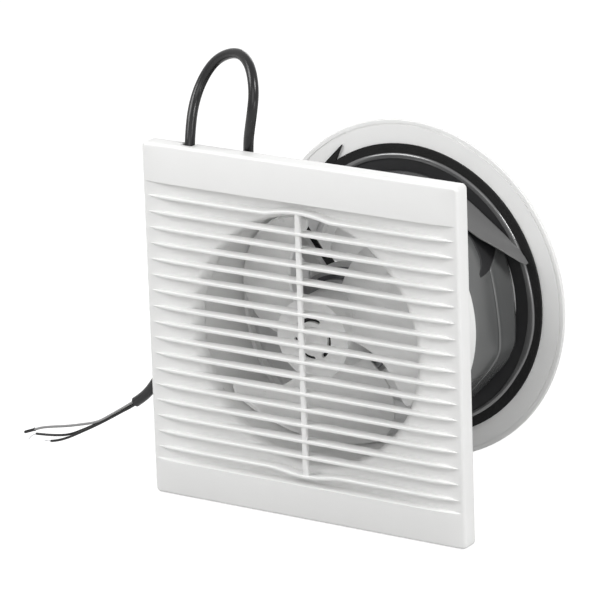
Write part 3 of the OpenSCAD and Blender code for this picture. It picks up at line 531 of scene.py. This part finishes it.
# The slats. The outermost two follow the inlet's edge where it is further out
SLAT_COUNT = 17
PITCH = 9.75
DROP = 1.2
ARCH_TOP = 79.8
ARCH_LOW = 81.6
SLAT_TIP = 105.0
SLAT_TAPER = 14.0        # length of the tapered ends
SLAT_HALF = 1.0          # half the height, in the middle and at the tips
SLAT_TIP_HALF = 0.08
SLAT_NOSE = 0.55         # radius of the rounded front
SLAT_SUNK = 0.03         # how far the front lies behind the plate's surface
SLAT_ROOT = 0.5          # how far the back goes into the recess's floor
SLAT_LEAST = 0.35        # least depth from front to back
ARCH_TOP_BLEND = 1.0
ARCH_LOW_BLEND = 1.6
SLAT_STEPS = 40
# The upright rib
RIB_HALF = 1.8
RIB_NOSE = 0.8
RIB_SUNK = 0.5
RIB_BACK = -10.0
RIB_SHORT = 0.2          # its ends stop short of the arches
RIB_STEPS = 12
# The outline's corners, and the rounding of the front edge
CORNER_R = 3.0
FRONT_ROUND = 2.0
SIDE_STEPS = 36
WALL = 1.7
# The side walls' rings behind the notches' fronts, and the last one with its small chamfer
SIDE_RINGS = [-3.0, -0.4]
BACK_RING = (2.85, 0.0)
# Where the cord passes the rim: the notches' ends along the edge, and how far forward they reach
NOTCH_TOP = (-83.6, -75.8)
NOTCH_TOP_Y = -6.1
NOTCH_SIDE = (-49.0, -28.0)
NOTCH_SIDE_Y = -7.2
# Points of the skin: rings round the inlet, and rows and columns outside them
INLET_SEGMENTS = 144
INLET_RINGS = [75.05, 75.09, 75.22, 75.5, 75.95, 76.6, 77.4, 78.3, 79.3, 80.3, 81.2, 82.1, 83.0,
               83.8, 84.5, 85.4]
INLET_REACH = 81.5       # the rings stop at this height, short of the close rows
GRID_FROM_R = 86.2       # the grid starts outside this radius, or above and below this height
GRID_FROM_Z = 82.0
SLOPE_ROWS = [0.0, 0.15, 0.3, 0.45, 0.6, 0.75, 0.9]
GRID_ROWS = [-105, -102, -99, -96, -93, -90.5, -88.6, -87.6]
GRID_ROWS += [FIELD_BOTTOM + d for d in SLOPE_ROWS + [1.4, 2.2]]
GRID_ROWS += [-84.1, -83.1, -82.1, -78] + list(range(-73, 78, 5)) + [80.5, 82.1, 83.1, 83.8]
GRID_ROWS += [FIELD_TOP - d for d in [1.4] + SLOPE_ROWS[::-1]]
GRID_ROWS += [86.4, 87.4, 89, 91.5, 94, 97, 100, 103, 105]
EDGE_COLS = [85, 87.5, 90, 93, 96, 99, 102, 104, 105.2, 105.8, 106.2, 106.6]
GRID_COLS = [-x for x in EDGE_COLS[::-1]] + list(range(-80, 81, 5)) + EDGE_COLS


def crown(s):
    """Share of the crown at a distance from the middle: 1 inside, 0 at the rim."""
    t = (abs(s) - BULGE_FROM) / BULGE_FALL
    return 1.0 if t <= 0 else max(0.0, 1.0 - t * t)


def front_y(x, z):
    return -PANEL_D - BULGE * crown(x) * crown(z)


def dish_y(x):
    return -PANEL_D + DISH * (1.0 - (x / DISH_HALF) ** 2)


def lip_y(r):
    """The inlet's surface. Outside MOUTH_R it falls back, so that the recess alone stays."""
    d = (MOUTH_R - r) / (MOUTH_R - LIP_R)
    if d < 0:
        return MOUTH_Y - MOUTH_ROUND - MOUTH_FALL * (r - MOUTH_R) ** 2
    return MOUTH_Y - MOUTH_ROUND * math.sqrt(max(1.0 - d * d, 0.0))


def skin_y(x, z):
    """The panel's front surface: crowned plate, shallow recess, soft air inlet."""
    plate = front_y(x, z)
    field = smax(dish_y(x), lip_y(math.hypot(x, z)), MOUTH_BLEND)
    inside = min((FIELD_TOP - z) / FIELD_SLOPE, (z - FIELD_BOTTOM) / FIELD_SLOPE)
    return lerp(plate, max(field, plate), smoothstep(inside))


def panel_outline(c):
    """Centres that the rings of the rim grow from, as (x, z, direction, side): a square of half
    side c whose corners turn in six steps. Two sides also have a point at each notch's end."""
    steps = [-c + 2 * c * i / SIDE_STEPS for i in range(SIDE_STEPS + 1)]
    cols = sorted(set(steps + list(NOTCH_TOP)))
    rows = sorted(set(steps + list(NOTCH_SIDE)))
    sides = [("bottom", [(x, -c) for x in cols]), ("right", [(c, z) for z in steps]),
             ("top", [(x, c) for x in reversed(cols)]), ("left", [(-c, z) for z in reversed(rows)])]
    outline = []
    for k, (side, points) in enumerate(sides):
        turn = 90.0 * (k - 1)
        outline += [(x, z, turn, side) for x, z in points]
        outline += [(*points[-1], turn + 15 * i, "corner") for i in range(1, 6)]
    return outline


def plan_points(border):
    """Points and fixed edges of the skin, seen from the front: border, air inlet and grid."""
    coords = [Vector(p) for p in border]
    edges = [(i, (i + 1) % len(border)) for i in range(len(border))]
    base = len(coords)
    edges += [(base + i, base + (i + 1) % INLET_SEGMENTS) for i in range(INLET_SEGMENTS)]
    for j, r in enumerate(INLET_RINGS):
        for i in range(INLET_SEGMENTS):
            a = 2 * math.pi * (i + 0.5 * (j % 2)) / INLET_SEGMENTS
            x, z = r * math.cos(a), r * math.sin(a)
            if j == 0 or abs(z) < INLET_REACH:
                coords.append(Vector((x, z)))
    for z in GRID_ROWS:
        for x in GRID_COLS:
            if math.hypot(x, z) > GRID_FROM_R or abs(z) > GRID_FROM_Z:
                coords.append(Vector((x, z)))
    return coords, edges


def build_panel():
    """Front, rounded edge and side walls, as a skin that a modifier thickens inwards."""
    outline = panel_outline(EDGE - CORNER_R)
    n = len(outline)

    def grown(d):
        return [(x + d * math.cos(math.radians(a)), z + d * math.sin(math.radians(a)))
                for x, z, a, _ in outline]

    rim = CORNER_R - FRONT_ROUND
    coords, edges = plan_points(grown(rim))
    plan, _, plan_faces, _, _, _ = delaunay_2d_cdt(coords, edges, [], 0, 1e-5)
    verts = [(p.x, skin_y(p.x, p.y), p.y) for p in plan]
    faces = []
    for f in plan_faces:
        x = sum(plan[i].x for i in f) / len(f)
        z = sum(plan[i].y for i in f) / len(f)
        if math.hypot(x, z) >= LIP_R - 0.05 and max(abs(x), abs(z)) <= DISH_HALF + 0.001:
            faces.append(tuple(f))
    # Rings of the rounded edge and the walls: how far out, and y, which starts on the skin
    rings = [(rim, None)]
    for angle in (15, 30, 45, 60, 75, 90):
        a = math.radians(angle)
        rings.append((rim + FRONT_ROUND * math.sin(a),
                      -PANEL_D + FRONT_ROUND - FRONT_ROUND * math.cos(a)))
    rings += [(CORNER_R, y) for y in [NOTCH_SIDE_Y, NOTCH_TOP_Y] + SIDE_RINGS] + [BACK_RING]

    def notched(j, i):
        """Whether a notch takes away the wall's face after point i of ring j."""
        y = rings[j][1]
        x0, z0, _, side = outline[i]
        x1, z1, _, next_side = outline[(i + 1) % n]
        if y is None or side != next_side:
            return False
        if side == "top":
            return NOTCH_TOP[0] < (x0 + x1) / 2 < NOTCH_TOP[1] and y > NOTCH_TOP_Y - 0.01
        if side == "left":
            return NOTCH_SIDE[0] < (z0 + z1) / 2 < NOTCH_SIDE[1] and y > NOTCH_SIDE_Y - 0.01
        return False

    faces += quads(len(rings), n, len(verts), closed=True, flip=True, skip=notched)
    for d, y in rings:
        verts += [(x, front_y(x, z) if y is None else y, z) for x, z in grown(d)]
    obj = mesh_obj("panel_skin", verts, faces, 40.0)
    clean(obj, 2 * JOIN)
    # The foremost face looks to the room
    bm = bmesh.new()
    bm.from_mesh(obj.data)
    foremost = min(bm.faces, key=lambda f: f.calc_center_median().y)
    if foremost.normal.y > 0:
        bmesh.ops.reverse_faces(bm, faces=bm.faces)
    bm.to_mesh(obj.data)
    bm.free()
    obj.data.set_sharp_from_angle(angle=math.radians(40))
    add_wall(obj, WALL).use_even_offset = False
    finish_piece(obj, M["white"], "grille", ("front_grille",))


def nosed_section(half, front, back, r):
    """A bar's section as (across, y): corners rounded by r in front, square at the back."""
    pts = []
    for side, first in ((-1, 180.0), (1, 270.0)):
        for i in range(5):
            a = math.radians(first + 22.5 * i)
            pts.append((side * (half - r) + r * math.cos(a), front + r + r * math.sin(a)))
    return pts + [(half, back), (-half, back)]


def slat_path(k, x):
    """Height of slat k at x."""
    z = ((SLAT_COUNT - 1) / 2 - k) * PITCH - DROP
    if k == 0:
        return smax(z, math.sqrt(max(ARCH_TOP ** 2 - x * x, 0.0)), ARCH_TOP_BLEND)
    if k == SLAT_COUNT - 1:
        return smin(z, -math.sqrt(max(ARCH_LOW ** 2 - x * x, 0.0)), ARCH_LOW_BLEND)
    return z


def slat_section(k, x):
    z = slat_path(k, x)
    front = front_y(x, z) + SLAT_SUNK
    back = max(dish_y(x) + SLAT_ROOT, front + SLAT_LEAST)
    end = max(0.0, min(1.0, (SLAT_TIP - abs(x)) / SLAT_TAPER))
    half = lerp(SLAT_TIP_HALF, SLAT_HALF, end * (2 - end))
    r = min(SLAT_NOSE, half * 0.6, (back - front) * 0.45)
    return [(x, y, z + across) for across, y in nosed_section(half, front, back, r)]


def build_slats():
    verts, faces = [], []
    steps = range(-SLAT_STEPS, SLAT_STEPS + 1)
    straight = [SLAT_TIP * math.sin(math.radians(90.0 * i / SLAT_STEPS)) for i in steps]
    # the arched slats have more sections in the middle
    arched = sorted(set(straight + [float(x) for x in range(-40, 41, 2)]))
    for k in range(SLAT_COUNT):
        xs = arched if k in (0, SLAT_COUNT - 1) else straight
        add_bar(verts, faces, [slat_section(k, x) for x in xs])
    obj = mesh_obj("slats", verts, faces, 50.0)
    clean(obj, JOIN_FINE)
    obj.data.set_sharp_from_angle(angle=math.radians(50))
    finish_piece(obj, M["white"], "grille")


def build_rib():
    """The upright rib behind the slats' fronts, with a rounded nose."""
    section = nosed_section(RIB_HALF, -PANEL_D - BULGE + RIB_SUNK, RIB_BACK, RIB_NOSE)
    heights = [lerp(RIB_SHORT - ARCH_LOW, ARCH_TOP - RIB_SHORT, i / RIB_STEPS)
               for i in range(RIB_STEPS + 1)]
    verts, faces = [], []
    add_bar(verts, faces, [[(x, y, z) for x, y in section] for z in heights])
    obj = mesh_obj("rib", verts, faces, 50.0)
    clean(obj, JOIN_FINE)
    finish_piece(obj, M["white"], "grille")


PIN_X, PIN_Z = 62.0, 92.5
PIN_SHAPE = [(2.5, -10.4), (2.5, -1.2), (2.3, -0.6), (1.8, -0.4)]      # radius and y
PIN_SIDES = 32


def build_pins():
    """The four push-in pins behind the panel."""
    verts, faces = [], []
    turns = [2 * math.pi * i / PIN_SIDES for i in range(PIN_SIDES)]
    for px in (-PIN_X, PIN_X):
        for pz in (-PIN_Z, PIN_Z):
            add_bar(verts, faces, [[(px + r * math.cos(a), y, pz + r * math.sin(a)) for a in turns]
                                   for r, y in PIN_SHAPE])
    obj = mesh_obj("panel_pins", verts, faces, 40.0)
    clean(obj, JOIN_FINE)
    finish_piece(obj, M["white"], "grille")


build_panel()
build_slats()
build_rib()
build_pins()


# ---------------------------------------------------------------- impeller
TIP_R = 73.2
HUB_R = 24.5
BLADE_Y = 3.0
BLADE_BACK = 1.0         # the sheet's middle lies this far behind BLADE_Y
BLADE_STEPS = 28
BLADE_THICK = 1.7
BLADE_ROOT = 1.0         # how far the blades go into the hub
CAMBER = 2.2
# A blade's front and rear edges: radius and angle
BLADE_FRONT = [(HUB_R, 124), (0.61 * TIP_R, 111), (0.82 * TIP_R, 98), (0.91 * TIP_R, 93),
               (0.97 * TIP_R, 92.5), (0.99 * TIP_R, 94), (TIP_R, 97)]
BLADE_REAR = [(HUB_R, 202), (0.61 * TIP_R, 195), (0.83 * TIP_R, 184), (0.95 * TIP_R, 174),
              (TIP_R, 168)]
BLADE_DEPTH = [(HUB_R, 24.0), (TIP_R, 33.0)]


def blade_point(r, c):
    """A point at radius r and share c of the way from the front edge to the rear edge."""
    a = math.radians(lerp(smooth_lookup(r, BLADE_FRONT), smooth_lookup(r, BLADE_REAR), c))
    camber = CAMBER * math.sin(math.pi * c) * r / TIP_R
    y = BLADE_Y + c * lookup(r, BLADE_DEPTH) + camber + BLADE_BACK
    return r * math.cos(a), y, r * math.sin(a)


def build_blades():
    verts, faces = [], []
    for b in range(3):
        turn = math.radians(-120 * b)
        ct, st = math.cos(turn), math.sin(turn)
        faces += quads(BLADE_STEPS + 1, BLADE_STEPS + 1, len(verts))
        for i in range(BLADE_STEPS + 1):
            r = HUB_R - BLADE_ROOT + (TIP_R - HUB_R + BLADE_ROOT) * (i / BLADE_STEPS) ** 0.9
            for j in range(BLADE_STEPS + 1):
                x, y, z = blade_point(r, j / BLADE_STEPS)
                verts.append((x * ct - z * st, y, x * st + z * ct))
    obj = mesh_obj("blades", verts, faces, 60.0)
    add_wall(obj, BLADE_THICK, 0.0)
    add_bevel(obj, 0.6, 50, 3).harden_normals = True
    finish_piece(obj, M["blade"], "rotor", ("impeller_blades",))


build_blades()
# The dark disc behind the hub's slotted face: painted shade, standing for the shade inside the hub
finish_piece(lathe("hub_painted_shade_disc", [(6.1, 2.6), (22.6, 2.6), (22.6, 3.1), (6.1, 3.1)], 64),
             M["web"], "rotor")


# ---------------------------------------------------------------- wall sleeve
SLEEVE_Y = 47.2          # the tube's front and rear ends
SLEEVE_END = 109.5
SLEEVE_R = 73.8
CORD_ANGLE = 128.0       # the slot where the cord passes: its middle, half width and rear end
CORD_SLOT_HALF = 5.0
CORD_SLOT_END = 58.9
LAP_FROM = 54.0          # where the wound strip's loose end starts
# The rolled sheet isn't quite round at its outer end: how far it stands off, by angle
SLEEVE_WAVE = [(-180, 0.3), (-150, -0.8), (-120, 0.4), (-90, -0.6), (-70, 0.3), (-57, 0.9),
               (-52.7, -0.1), (-45.6, -0.9), (-37, -0.5), (-28.7, 0.9), (-22.6, 1.4), (-17.6, 1.5),
               (-11.5, 0.0), (3, -2.0), (15, -1.8), (24.5, -0.8), (40, 0.0), (80, 0.2),
               (112, -0.2), (150, -0.5), (180, 0.3)]
WAVE_FROM = 62.0         # the wave grows from here ...
WAVE_GROWTH = 44.0       # ... over this distance
# Front edge of the wound strip, by angle from its loose end round to its other end
STRIP_FRONT = [(54, 81.5), (70, 84.5), (90, 87.0), (120, 88.0), (250, 87.0), (318, 86.8),
               (327, 87.4), (333, 88.9), (339, 90.8), (345, 90.9), (353.2, 89.3), (360.7, 88.2),
               (367.8, 87.8), (374.8, 88.1), (381.2, 88.6), (382.3, 89.3), (385.4, 95.3),
               (387.9, 99.6), (389.8, 102.7), (393.6, 109.2)]
# Outer radius of the strip behind its front edge, and how strongly that ridge shows, by angle
STRIP_RIDGE = [(0, 73.95), (0.3, 74.3), (0.8, 74.6), (1.4, 74.72), (2.4, 74.68), (4.0, 74.5),
               (6.0, 74.4), (30, 74.4)]
RIDGE_SHARE = [(54, 0.3), (300, 0.1), (322, 0.15), (332, 0.45), (342, 0.9), (352, 1.0),
               (376, 1.0), (394, 0.8)]
STRIP_FLAT_R = 73.9
STRIP_ROWS = [0, 0.015, 0.035, 0.06, 0.09, 0.12, 0.16, 0.21, 0.27, 0.35, 0.45, 0.56, 0.68, 0.8,
              0.9, 1]
STRIP_ANGLES = [LAP_FROM + 2.0 * i for i in range(163)] + [
    379.5, 380.5, 381.2, 381.8, 382.3, 383, 384, 385.4, 386.6, 387.9, 388.8, 389.8, 391, 392.2,
    393.2, 393.6]
# Front and rear edges of the black patch under the strip's ends, painted shade for the shadowed gap
# there, by angle
SHADOW_PATCH_FRONT = [(20.8, 77.6), (22.6, 77.8), (24.6, 80.8), (27.1, 82.9), (30.3, 84.4), (33.8, 84.8),
              (37.4, 85.4), (60, 85.3)]
SHADOW_PATCH_BACK = [(20.8, 79.2), (21.2, 84.2), (22.3, 90.0), (22.6, 108.0)]
SHADOW_PATCH_R = 73.93
SHADOW_PATCH_ANGLES = [20.8, 21.0, 21.2, 21.7, 22.3, 22.6, 23.5, 24.6, 25.8, 27.1, 28.7, 30.3, 32, 33.8,
               35.6, 37.4] + [40.0 + 2 * i for i in range(11)]
# The strip's loose end: share of its lift along it, its front edge by x, and its rows
CORNER_BASE_R = 74.75
CORNER_LIFT = 12.6
CORNER_TURN = 35.0
CORNER_STEPS = 40
CORNER_SHARE = [(-0.2, -0.03), (0, -0.01), (0.17, 0.03), (0.34, 0.13), (0.51, 0.3), (0.66, 0.51),
                (0.8, 0.75), (0.91, 0.9), (1, 1)]
CORNER_FRONT = [(40.3, 80.5), (62.6, 87.5), (76.6, 97.0), (80.6, 102.2), (82.6, 107.4)]
CORNER_REAR = 109.2
CORNER_FROM = -0.15      # it starts this share before the strip's end, under it
CORNER_CURL = 0.35       # how far its front edge curls outwards
CORNER_ROWS = [0, 0.02, 0.06, 0.12, 0.2, 0.32, 0.46, 0.6, 0.74, 0.86, 0.94, 1]


def sleeve_wave(a, y):
    a = (a + 180.0) % 360.0 - 180.0
    return smooth_lookup(a, SLEEVE_WAVE) * smoothstep((y - WAVE_FROM) / WAVE_GROWTH)


def rolled_sheet(name, angles, front, back, rows, radius, thick, **faces_as):
    """A sheet rolled round the fan axis. Columns are angles, rows are parts of the way from front
    to back, and radius gives the outer face from the angle, y and the front edge's distance."""
    verts = []
    for a in angles:
        c, s = math.cos(math.radians(a)), math.sin(math.radians(a))
        y0, y1 = front(a), back(a)
        for t in rows:
            y = lerp(y0, y1, t)
            r = radius(a, y, y - y0)
            verts.append((r * c, y, r * s))
    obj = mesh_obj(name, verts, quads(len(angles), len(rows), flip=True, **faces_as), 50.0)
    return obj, add_wall(obj, thick)


def build_sleeve():
    """The rolled tube, dark outside and, with painted light, lighter inside, open where the cord
    passes.
    """
    slot_ends = [CORD_ANGLE - CORD_SLOT_HALF, CORD_ANGLE + CORD_SLOT_HALF]
    angles = sorted(set([2.0 * i for i in range(180)] + slot_ends))
    length = SLEEVE_END - SLEEVE_Y
    rows = sorted([i / 24 for i in range(25)] + [(CORD_SLOT_END - SLEEVE_Y) / length])

    def in_slot(i, k):
        ends = angles[i], angles[(i + 1) % len(angles)]
        return (all(abs(a - CORD_ANGLE) < CORD_SLOT_HALF + 0.01 for a in ends)
                and lerp(SLEEVE_Y, SLEEVE_END, rows[k + 1]) < CORD_SLOT_END + 0.01)

    obj, wall = rolled_sheet("sleeve", angles, lambda a: SLEEVE_Y, lambda a: SLEEVE_END, rows,
                             lambda a, y, d: SLEEVE_R + sleeve_wave(a, y), 1.0, wrap=True,
                             skip=in_slot)
    wall.material_offset = 1
    wall.material_offset_rim = 1
    finish_piece(obj, M["sheet"], "housing", ("wall_sleeve",))
    obj.data.materials.append(M["duct"])


def strip_radius(a, y, d):
    return (lerp(STRIP_FLAT_R, smooth_lookup(d, STRIP_RIDGE), lookup(a, RIDGE_SHARE))
            + sleeve_wave(a, y))


def build_strip():
    """The strip wound round the tube's end, whose front edge is a soft ridge, and a black patch
    under its ends that paints the shadow in the gap there.
    """
    obj, _ = rolled_sheet("strip", STRIP_ANGLES, lambda a: smooth_lookup(a, STRIP_FRONT),
                          lambda a: SLEEVE_END, STRIP_ROWS, strip_radius, 0.5)
    finish_piece(obj, M["sheet"], "housing")
    # Painted shade: a thin black patch stands for the shadowed gap under the strip's loose end
    obj, _ = rolled_sheet("painted_shadow_patch", SHADOW_PATCH_ANGLES, lambda a: smooth_lookup(a, SHADOW_PATCH_FRONT),
                          lambda a: lookup(a, SHADOW_PATCH_BACK), [i / 12 for i in range(13)],
                          lambda a, y, d: SHADOW_PATCH_R + sleeve_wave(a, y), 0.1)
    finish_piece(obj, M["web"], "housing")


def build_corner():
    """The strip's loose end, cut slantwise and bent away from the tube."""
    verts = []
    for i in range(CORNER_STEPS + 1):
        t = CORNER_FROM + (1.0 - CORNER_FROM) * i / CORNER_STEPS
        a = math.radians(LAP_FROM - CORNER_TURN * t)
        r = CORNER_BASE_R + CORNER_LIFT * smooth_lookup(t, CORNER_SHARE)
        front = lookup(r * math.cos(a), CORNER_FRONT)
        for q in CORNER_ROWS:
            curl = CORNER_CURL * (1 - q) ** 3
            verts.append(((r + curl) * math.cos(a), lerp(front, CORNER_REAR, q),
                          (r + curl) * math.sin(a)))
    obj = mesh_obj("loose_corner", verts, quads(CORNER_STEPS + 1, len(CORNER_ROWS)), 50.0)
    add_wall(obj, 0.9)
    add_bevel(obj, 0.25, 50)
    # Painted light: the loose end takes the lighter copy of the sheet's colour
    finish_piece(obj, M["corner"], "housing")


build_sleeve()
build_strip()
build_corner()


# ---------------------------------------------------------------- collar and stop ring
COLLAR_WEB = [(73.1, 109.6), (83.4, 109.6), (84.0, 109.8), (84.2, 110.1), (84.2, 111.3),
              (84.0, 111.5), (73.1, 111.5)]
DUCT_LIP = [(70.1, 109.7), (73.0, 109.7), (73.0, 111.5), (70.1, 111.5)]
FLAP_SEAT = [(64.4, 117.0), (69.95, 117.0), (69.95, 117.8), (64.4, 117.8)]
# Section of the bead: share of its width, and y. Its outer edge varies with the angle
BEAD_SHAPE = [(0.0, 110.0), (0.0, 109.4), (0.05, 109.0), (0.14, 108.75), (0.3, 108.6),
              (0.5, 108.55), (0.68, 108.65), (0.84, 108.85), (0.95, 109.2), (1.0, 109.6),
              (1.0, 110.0)]
BEAD_INNER_R = 81.3
BEAD_EDGE = [(-180, 84.9), (-34, 84.8), (-20, 85.7), (-9, 86.2), (2, 85.6), (12, 84.9), (180, 84.9)]


def bead_profile(angle):
    edge = smooth_lookup((angle + 180.0) % 360.0 - 180.0, BEAD_EDGE)
    return [(lerp(BEAD_INNER_R, edge, q), y) for q, y in BEAD_SHAPE]


def build_collar():
    """The matte web in front of the flange, the lip of the duct inside it, lighter with painted
    light, the glossy bead at its edge, and the thin stop ring in the flange's bore, in front of the
    flaps' ends."""
    finish_piece(lathe("collar_web", COLLAR_WEB, 192, 40.0), M["web"], "housing",
                 ("outer_collar",))
    finish_piece(lathe("duct_lip", DUCT_LIP, 128, 40.0), M["duct"], "housing")
    finish_piece(lathe("collar_bead", bead_profile, 240, 60.0), M["gloss"], "housing")
    finish_piece(lathe("flap_seat", FLAP_SEAT), M["flange"], "housing")


build_collar()


# ---------------------------------------------------------------- carried-over CAD nodes
FLAPS = ["flap_%d" % k for k in range(1, 6)]
NODES_BY_MATERIAL = {
    "white": ["base_frame", "motor_spider"],
    "flange": ["outer_flange"] + FLAPS,
    "blade": ["impeller_hub"],
    "alu": ["motor_front_cap", "motor_rear_cap"],
    "steel": ["spider_screws", "motor_bolts", "collar_screws", "flap_wires", "motor_shaft",
              "impeller_clip"],
    "lam": ["stator_core", "rotor_core"],
    "wire": ["stator_coils"],
    "bronze": ["front_bush", "rear_bush"],
    "washer": ["thrust_washers"],
    "foam": ["foam_ring"],
    "rubber": ["tube_grommet", "cord_gland"],
}
BEVELS = {"outer_flange": 0.35, "base_frame": 0.3, "motor_spider": 0.4, "impeller_hub": 0.5,
          "motor_front_cap": 0.4, "motor_rear_cap": 0.6, "collar_screws": 0.3,
          "spider_screws": 0.3, "motor_bolts": 0.2, "cord_gland": 0.4, "tube_grommet": 0.3,
          **{flap: 0.2 for flap in FLAPS}}


def dress_node(node, mat):
    """Gives a CAD node its material and soft edges."""
    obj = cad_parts[node]
    if not obj.material_slots:
        obj.data.materials.append(mat)
    for slot in obj.material_slots:
        slot.link = "OBJECT"
        slot.material = mat
    if node in BEVELS:
        add_bevel(obj, BEVELS[node], 40)


for key, names in NODES_BY_MATERIAL.items():
    for node_name in names:
        dress_node(node_name, M[key])


# ---------------------------------------------------------------- floor, background, light
WHITE = (1, 1, 1, 1)
AMBIENT = 0.27
FLOOR_Z = -109.4
FLOOR_SIZE = 9000.0
FLOOR_BACK = 1500.0      # how far the floor's middle lies behind the fan
FLOOR_STEPS = 12
FLOOR_GLOW = 0.8
# Lamps as name, place, target, size (all in metres) and power. The last one stands for the light
# that comes into the duct past the white flaps
LAMPS = [
    ("key", (-0.68, -0.62, 0.80), (0, 0, 0), (0.6, 0.6), 9.0),
    ("fill", (0.8, -2.05, 0.95), (0, 0, 0), (1.6, 1.2), 11.3),
    ("right", (1.7, -0.15, 1.4), (0, 0.05, 0), (0.7, 0.7), 28.0),
    ("low", (1.5, -0.6, 0.05), (0, 0.08, 0), (0.8, 0.3), 3.0),
    ("back", (-0.7, 2.4, 0.9), (0, 0.1, 0), (1.2, 0.9), 8.0),
    ("top", (0.2, 0.3, 2.0), (0, 0.05, 0), (1.6, 1.2), 0.2),
    ("duct", (0, 0.075, 0), (0, 0.2, 0), (0.11, 0.11), 0.019)]


def camera_rays(nt):
    """1 for rays from the camera and for those that metal and glass send on."""
    rays = nt.nodes.new("ShaderNodeLightPath").outputs
    seen = rays["Is Camera Ray"]
    for kind in ("Is Glossy Ray", "Is Transmission Ray"):
        either = nt.nodes.new("ShaderNodeMath")
        either.operation = "MAXIMUM"
        nt.links.new(seen, either.inputs[0])
        nt.links.new(rays[kind], either.inputs[1])
        seen = either.outputs[0]
    return seen


def background(nt, strength):
    node = nt.nodes.new("ShaderNodeBackground")
    node.inputs["Color"].default_value = WHITE
    node.inputs["Strength"].default_value = strength
    return node.outputs[0]


def build_world():
    """White to the camera, and a dimmer white as light."""
    world = bpy.data.worlds.new("world")
    bpy.context.scene.world = world
    world.use_nodes = True
    nt = world.node_tree
    nt.nodes.clear()
    out = nt.nodes.new("ShaderNodeOutputWorld")
    mix = nt.nodes.new("ShaderNodeMixShader")
    nt.links.new(camera_rays(nt), mix.inputs["Fac"])
    nt.links.new(background(nt, AMBIENT), mix.inputs[1])
    nt.links.new(background(nt, 1.0), mix.inputs[2])
    nt.links.new(mix.outputs[0], out.inputs["Surface"])


def floor_material():
    """A light grey floor that also glows, but only towards the camera."""
    mat = bpy.data.materials.new("floor")
    mat.use_nodes = True
    nt = mat.node_tree
    nt.nodes.clear()
    out = nt.nodes.new("ShaderNodeOutputMaterial")
    diffuse = nt.nodes.new("ShaderNodeBsdfDiffuse")
    tone = two_tones(nt, add_noise(nt, 3.0, 2.0), grey(0.42), grey(0.44))
    nt.links.new(tone, diffuse.inputs["Color"])
    glow = nt.nodes.new("ShaderNodeEmission")
    glow.inputs["Color"].default_value = WHITE
    strength = nt.nodes.new("ShaderNodeMath")
    strength.operation = "MULTIPLY"
    strength.inputs[1].default_value = FLOOR_GLOW
    nt.links.new(camera_rays(nt), strength.inputs[0])
    nt.links.new(strength.outputs[0], glow.inputs["Strength"])
    both = nt.nodes.new("ShaderNodeAddShader")
    nt.links.new(diffuse.outputs[0], both.inputs[0])
    nt.links.new(glow.outputs[0], both.inputs[1])
    nt.links.new(both.outputs[0], out.inputs["Surface"])
    return mat


def build_floor():
    side = [-FLOOR_SIZE / 2 + FLOOR_SIZE * i / FLOOR_STEPS for i in range(FLOOR_STEPS + 1)]
    verts = [(x, y + FLOOR_BACK, FLOOR_Z) for x in side for y in side]
    obj = mesh_obj("floor", verts, quads(len(side), len(side)))
    obj.data.materials.append(floor_material())


def area_light(name, pos, target, size, power):
    data = bpy.data.lights.new(name, "AREA")
    data.shape = "RECTANGLE"
    data.size, data.size_y = size
    data.energy = power
    obj = bpy.data.objects.new(name, data)
    bpy.context.scene.collection.objects.link(obj)
    obj.location = pos
    obj.rotation_euler = (Vector(target) - Vector(pos)).to_track_quat("-Z", "Y").to_euler()


build_world()
build_floor()
for lamp in LAMPS:
    area_light(*lamp)
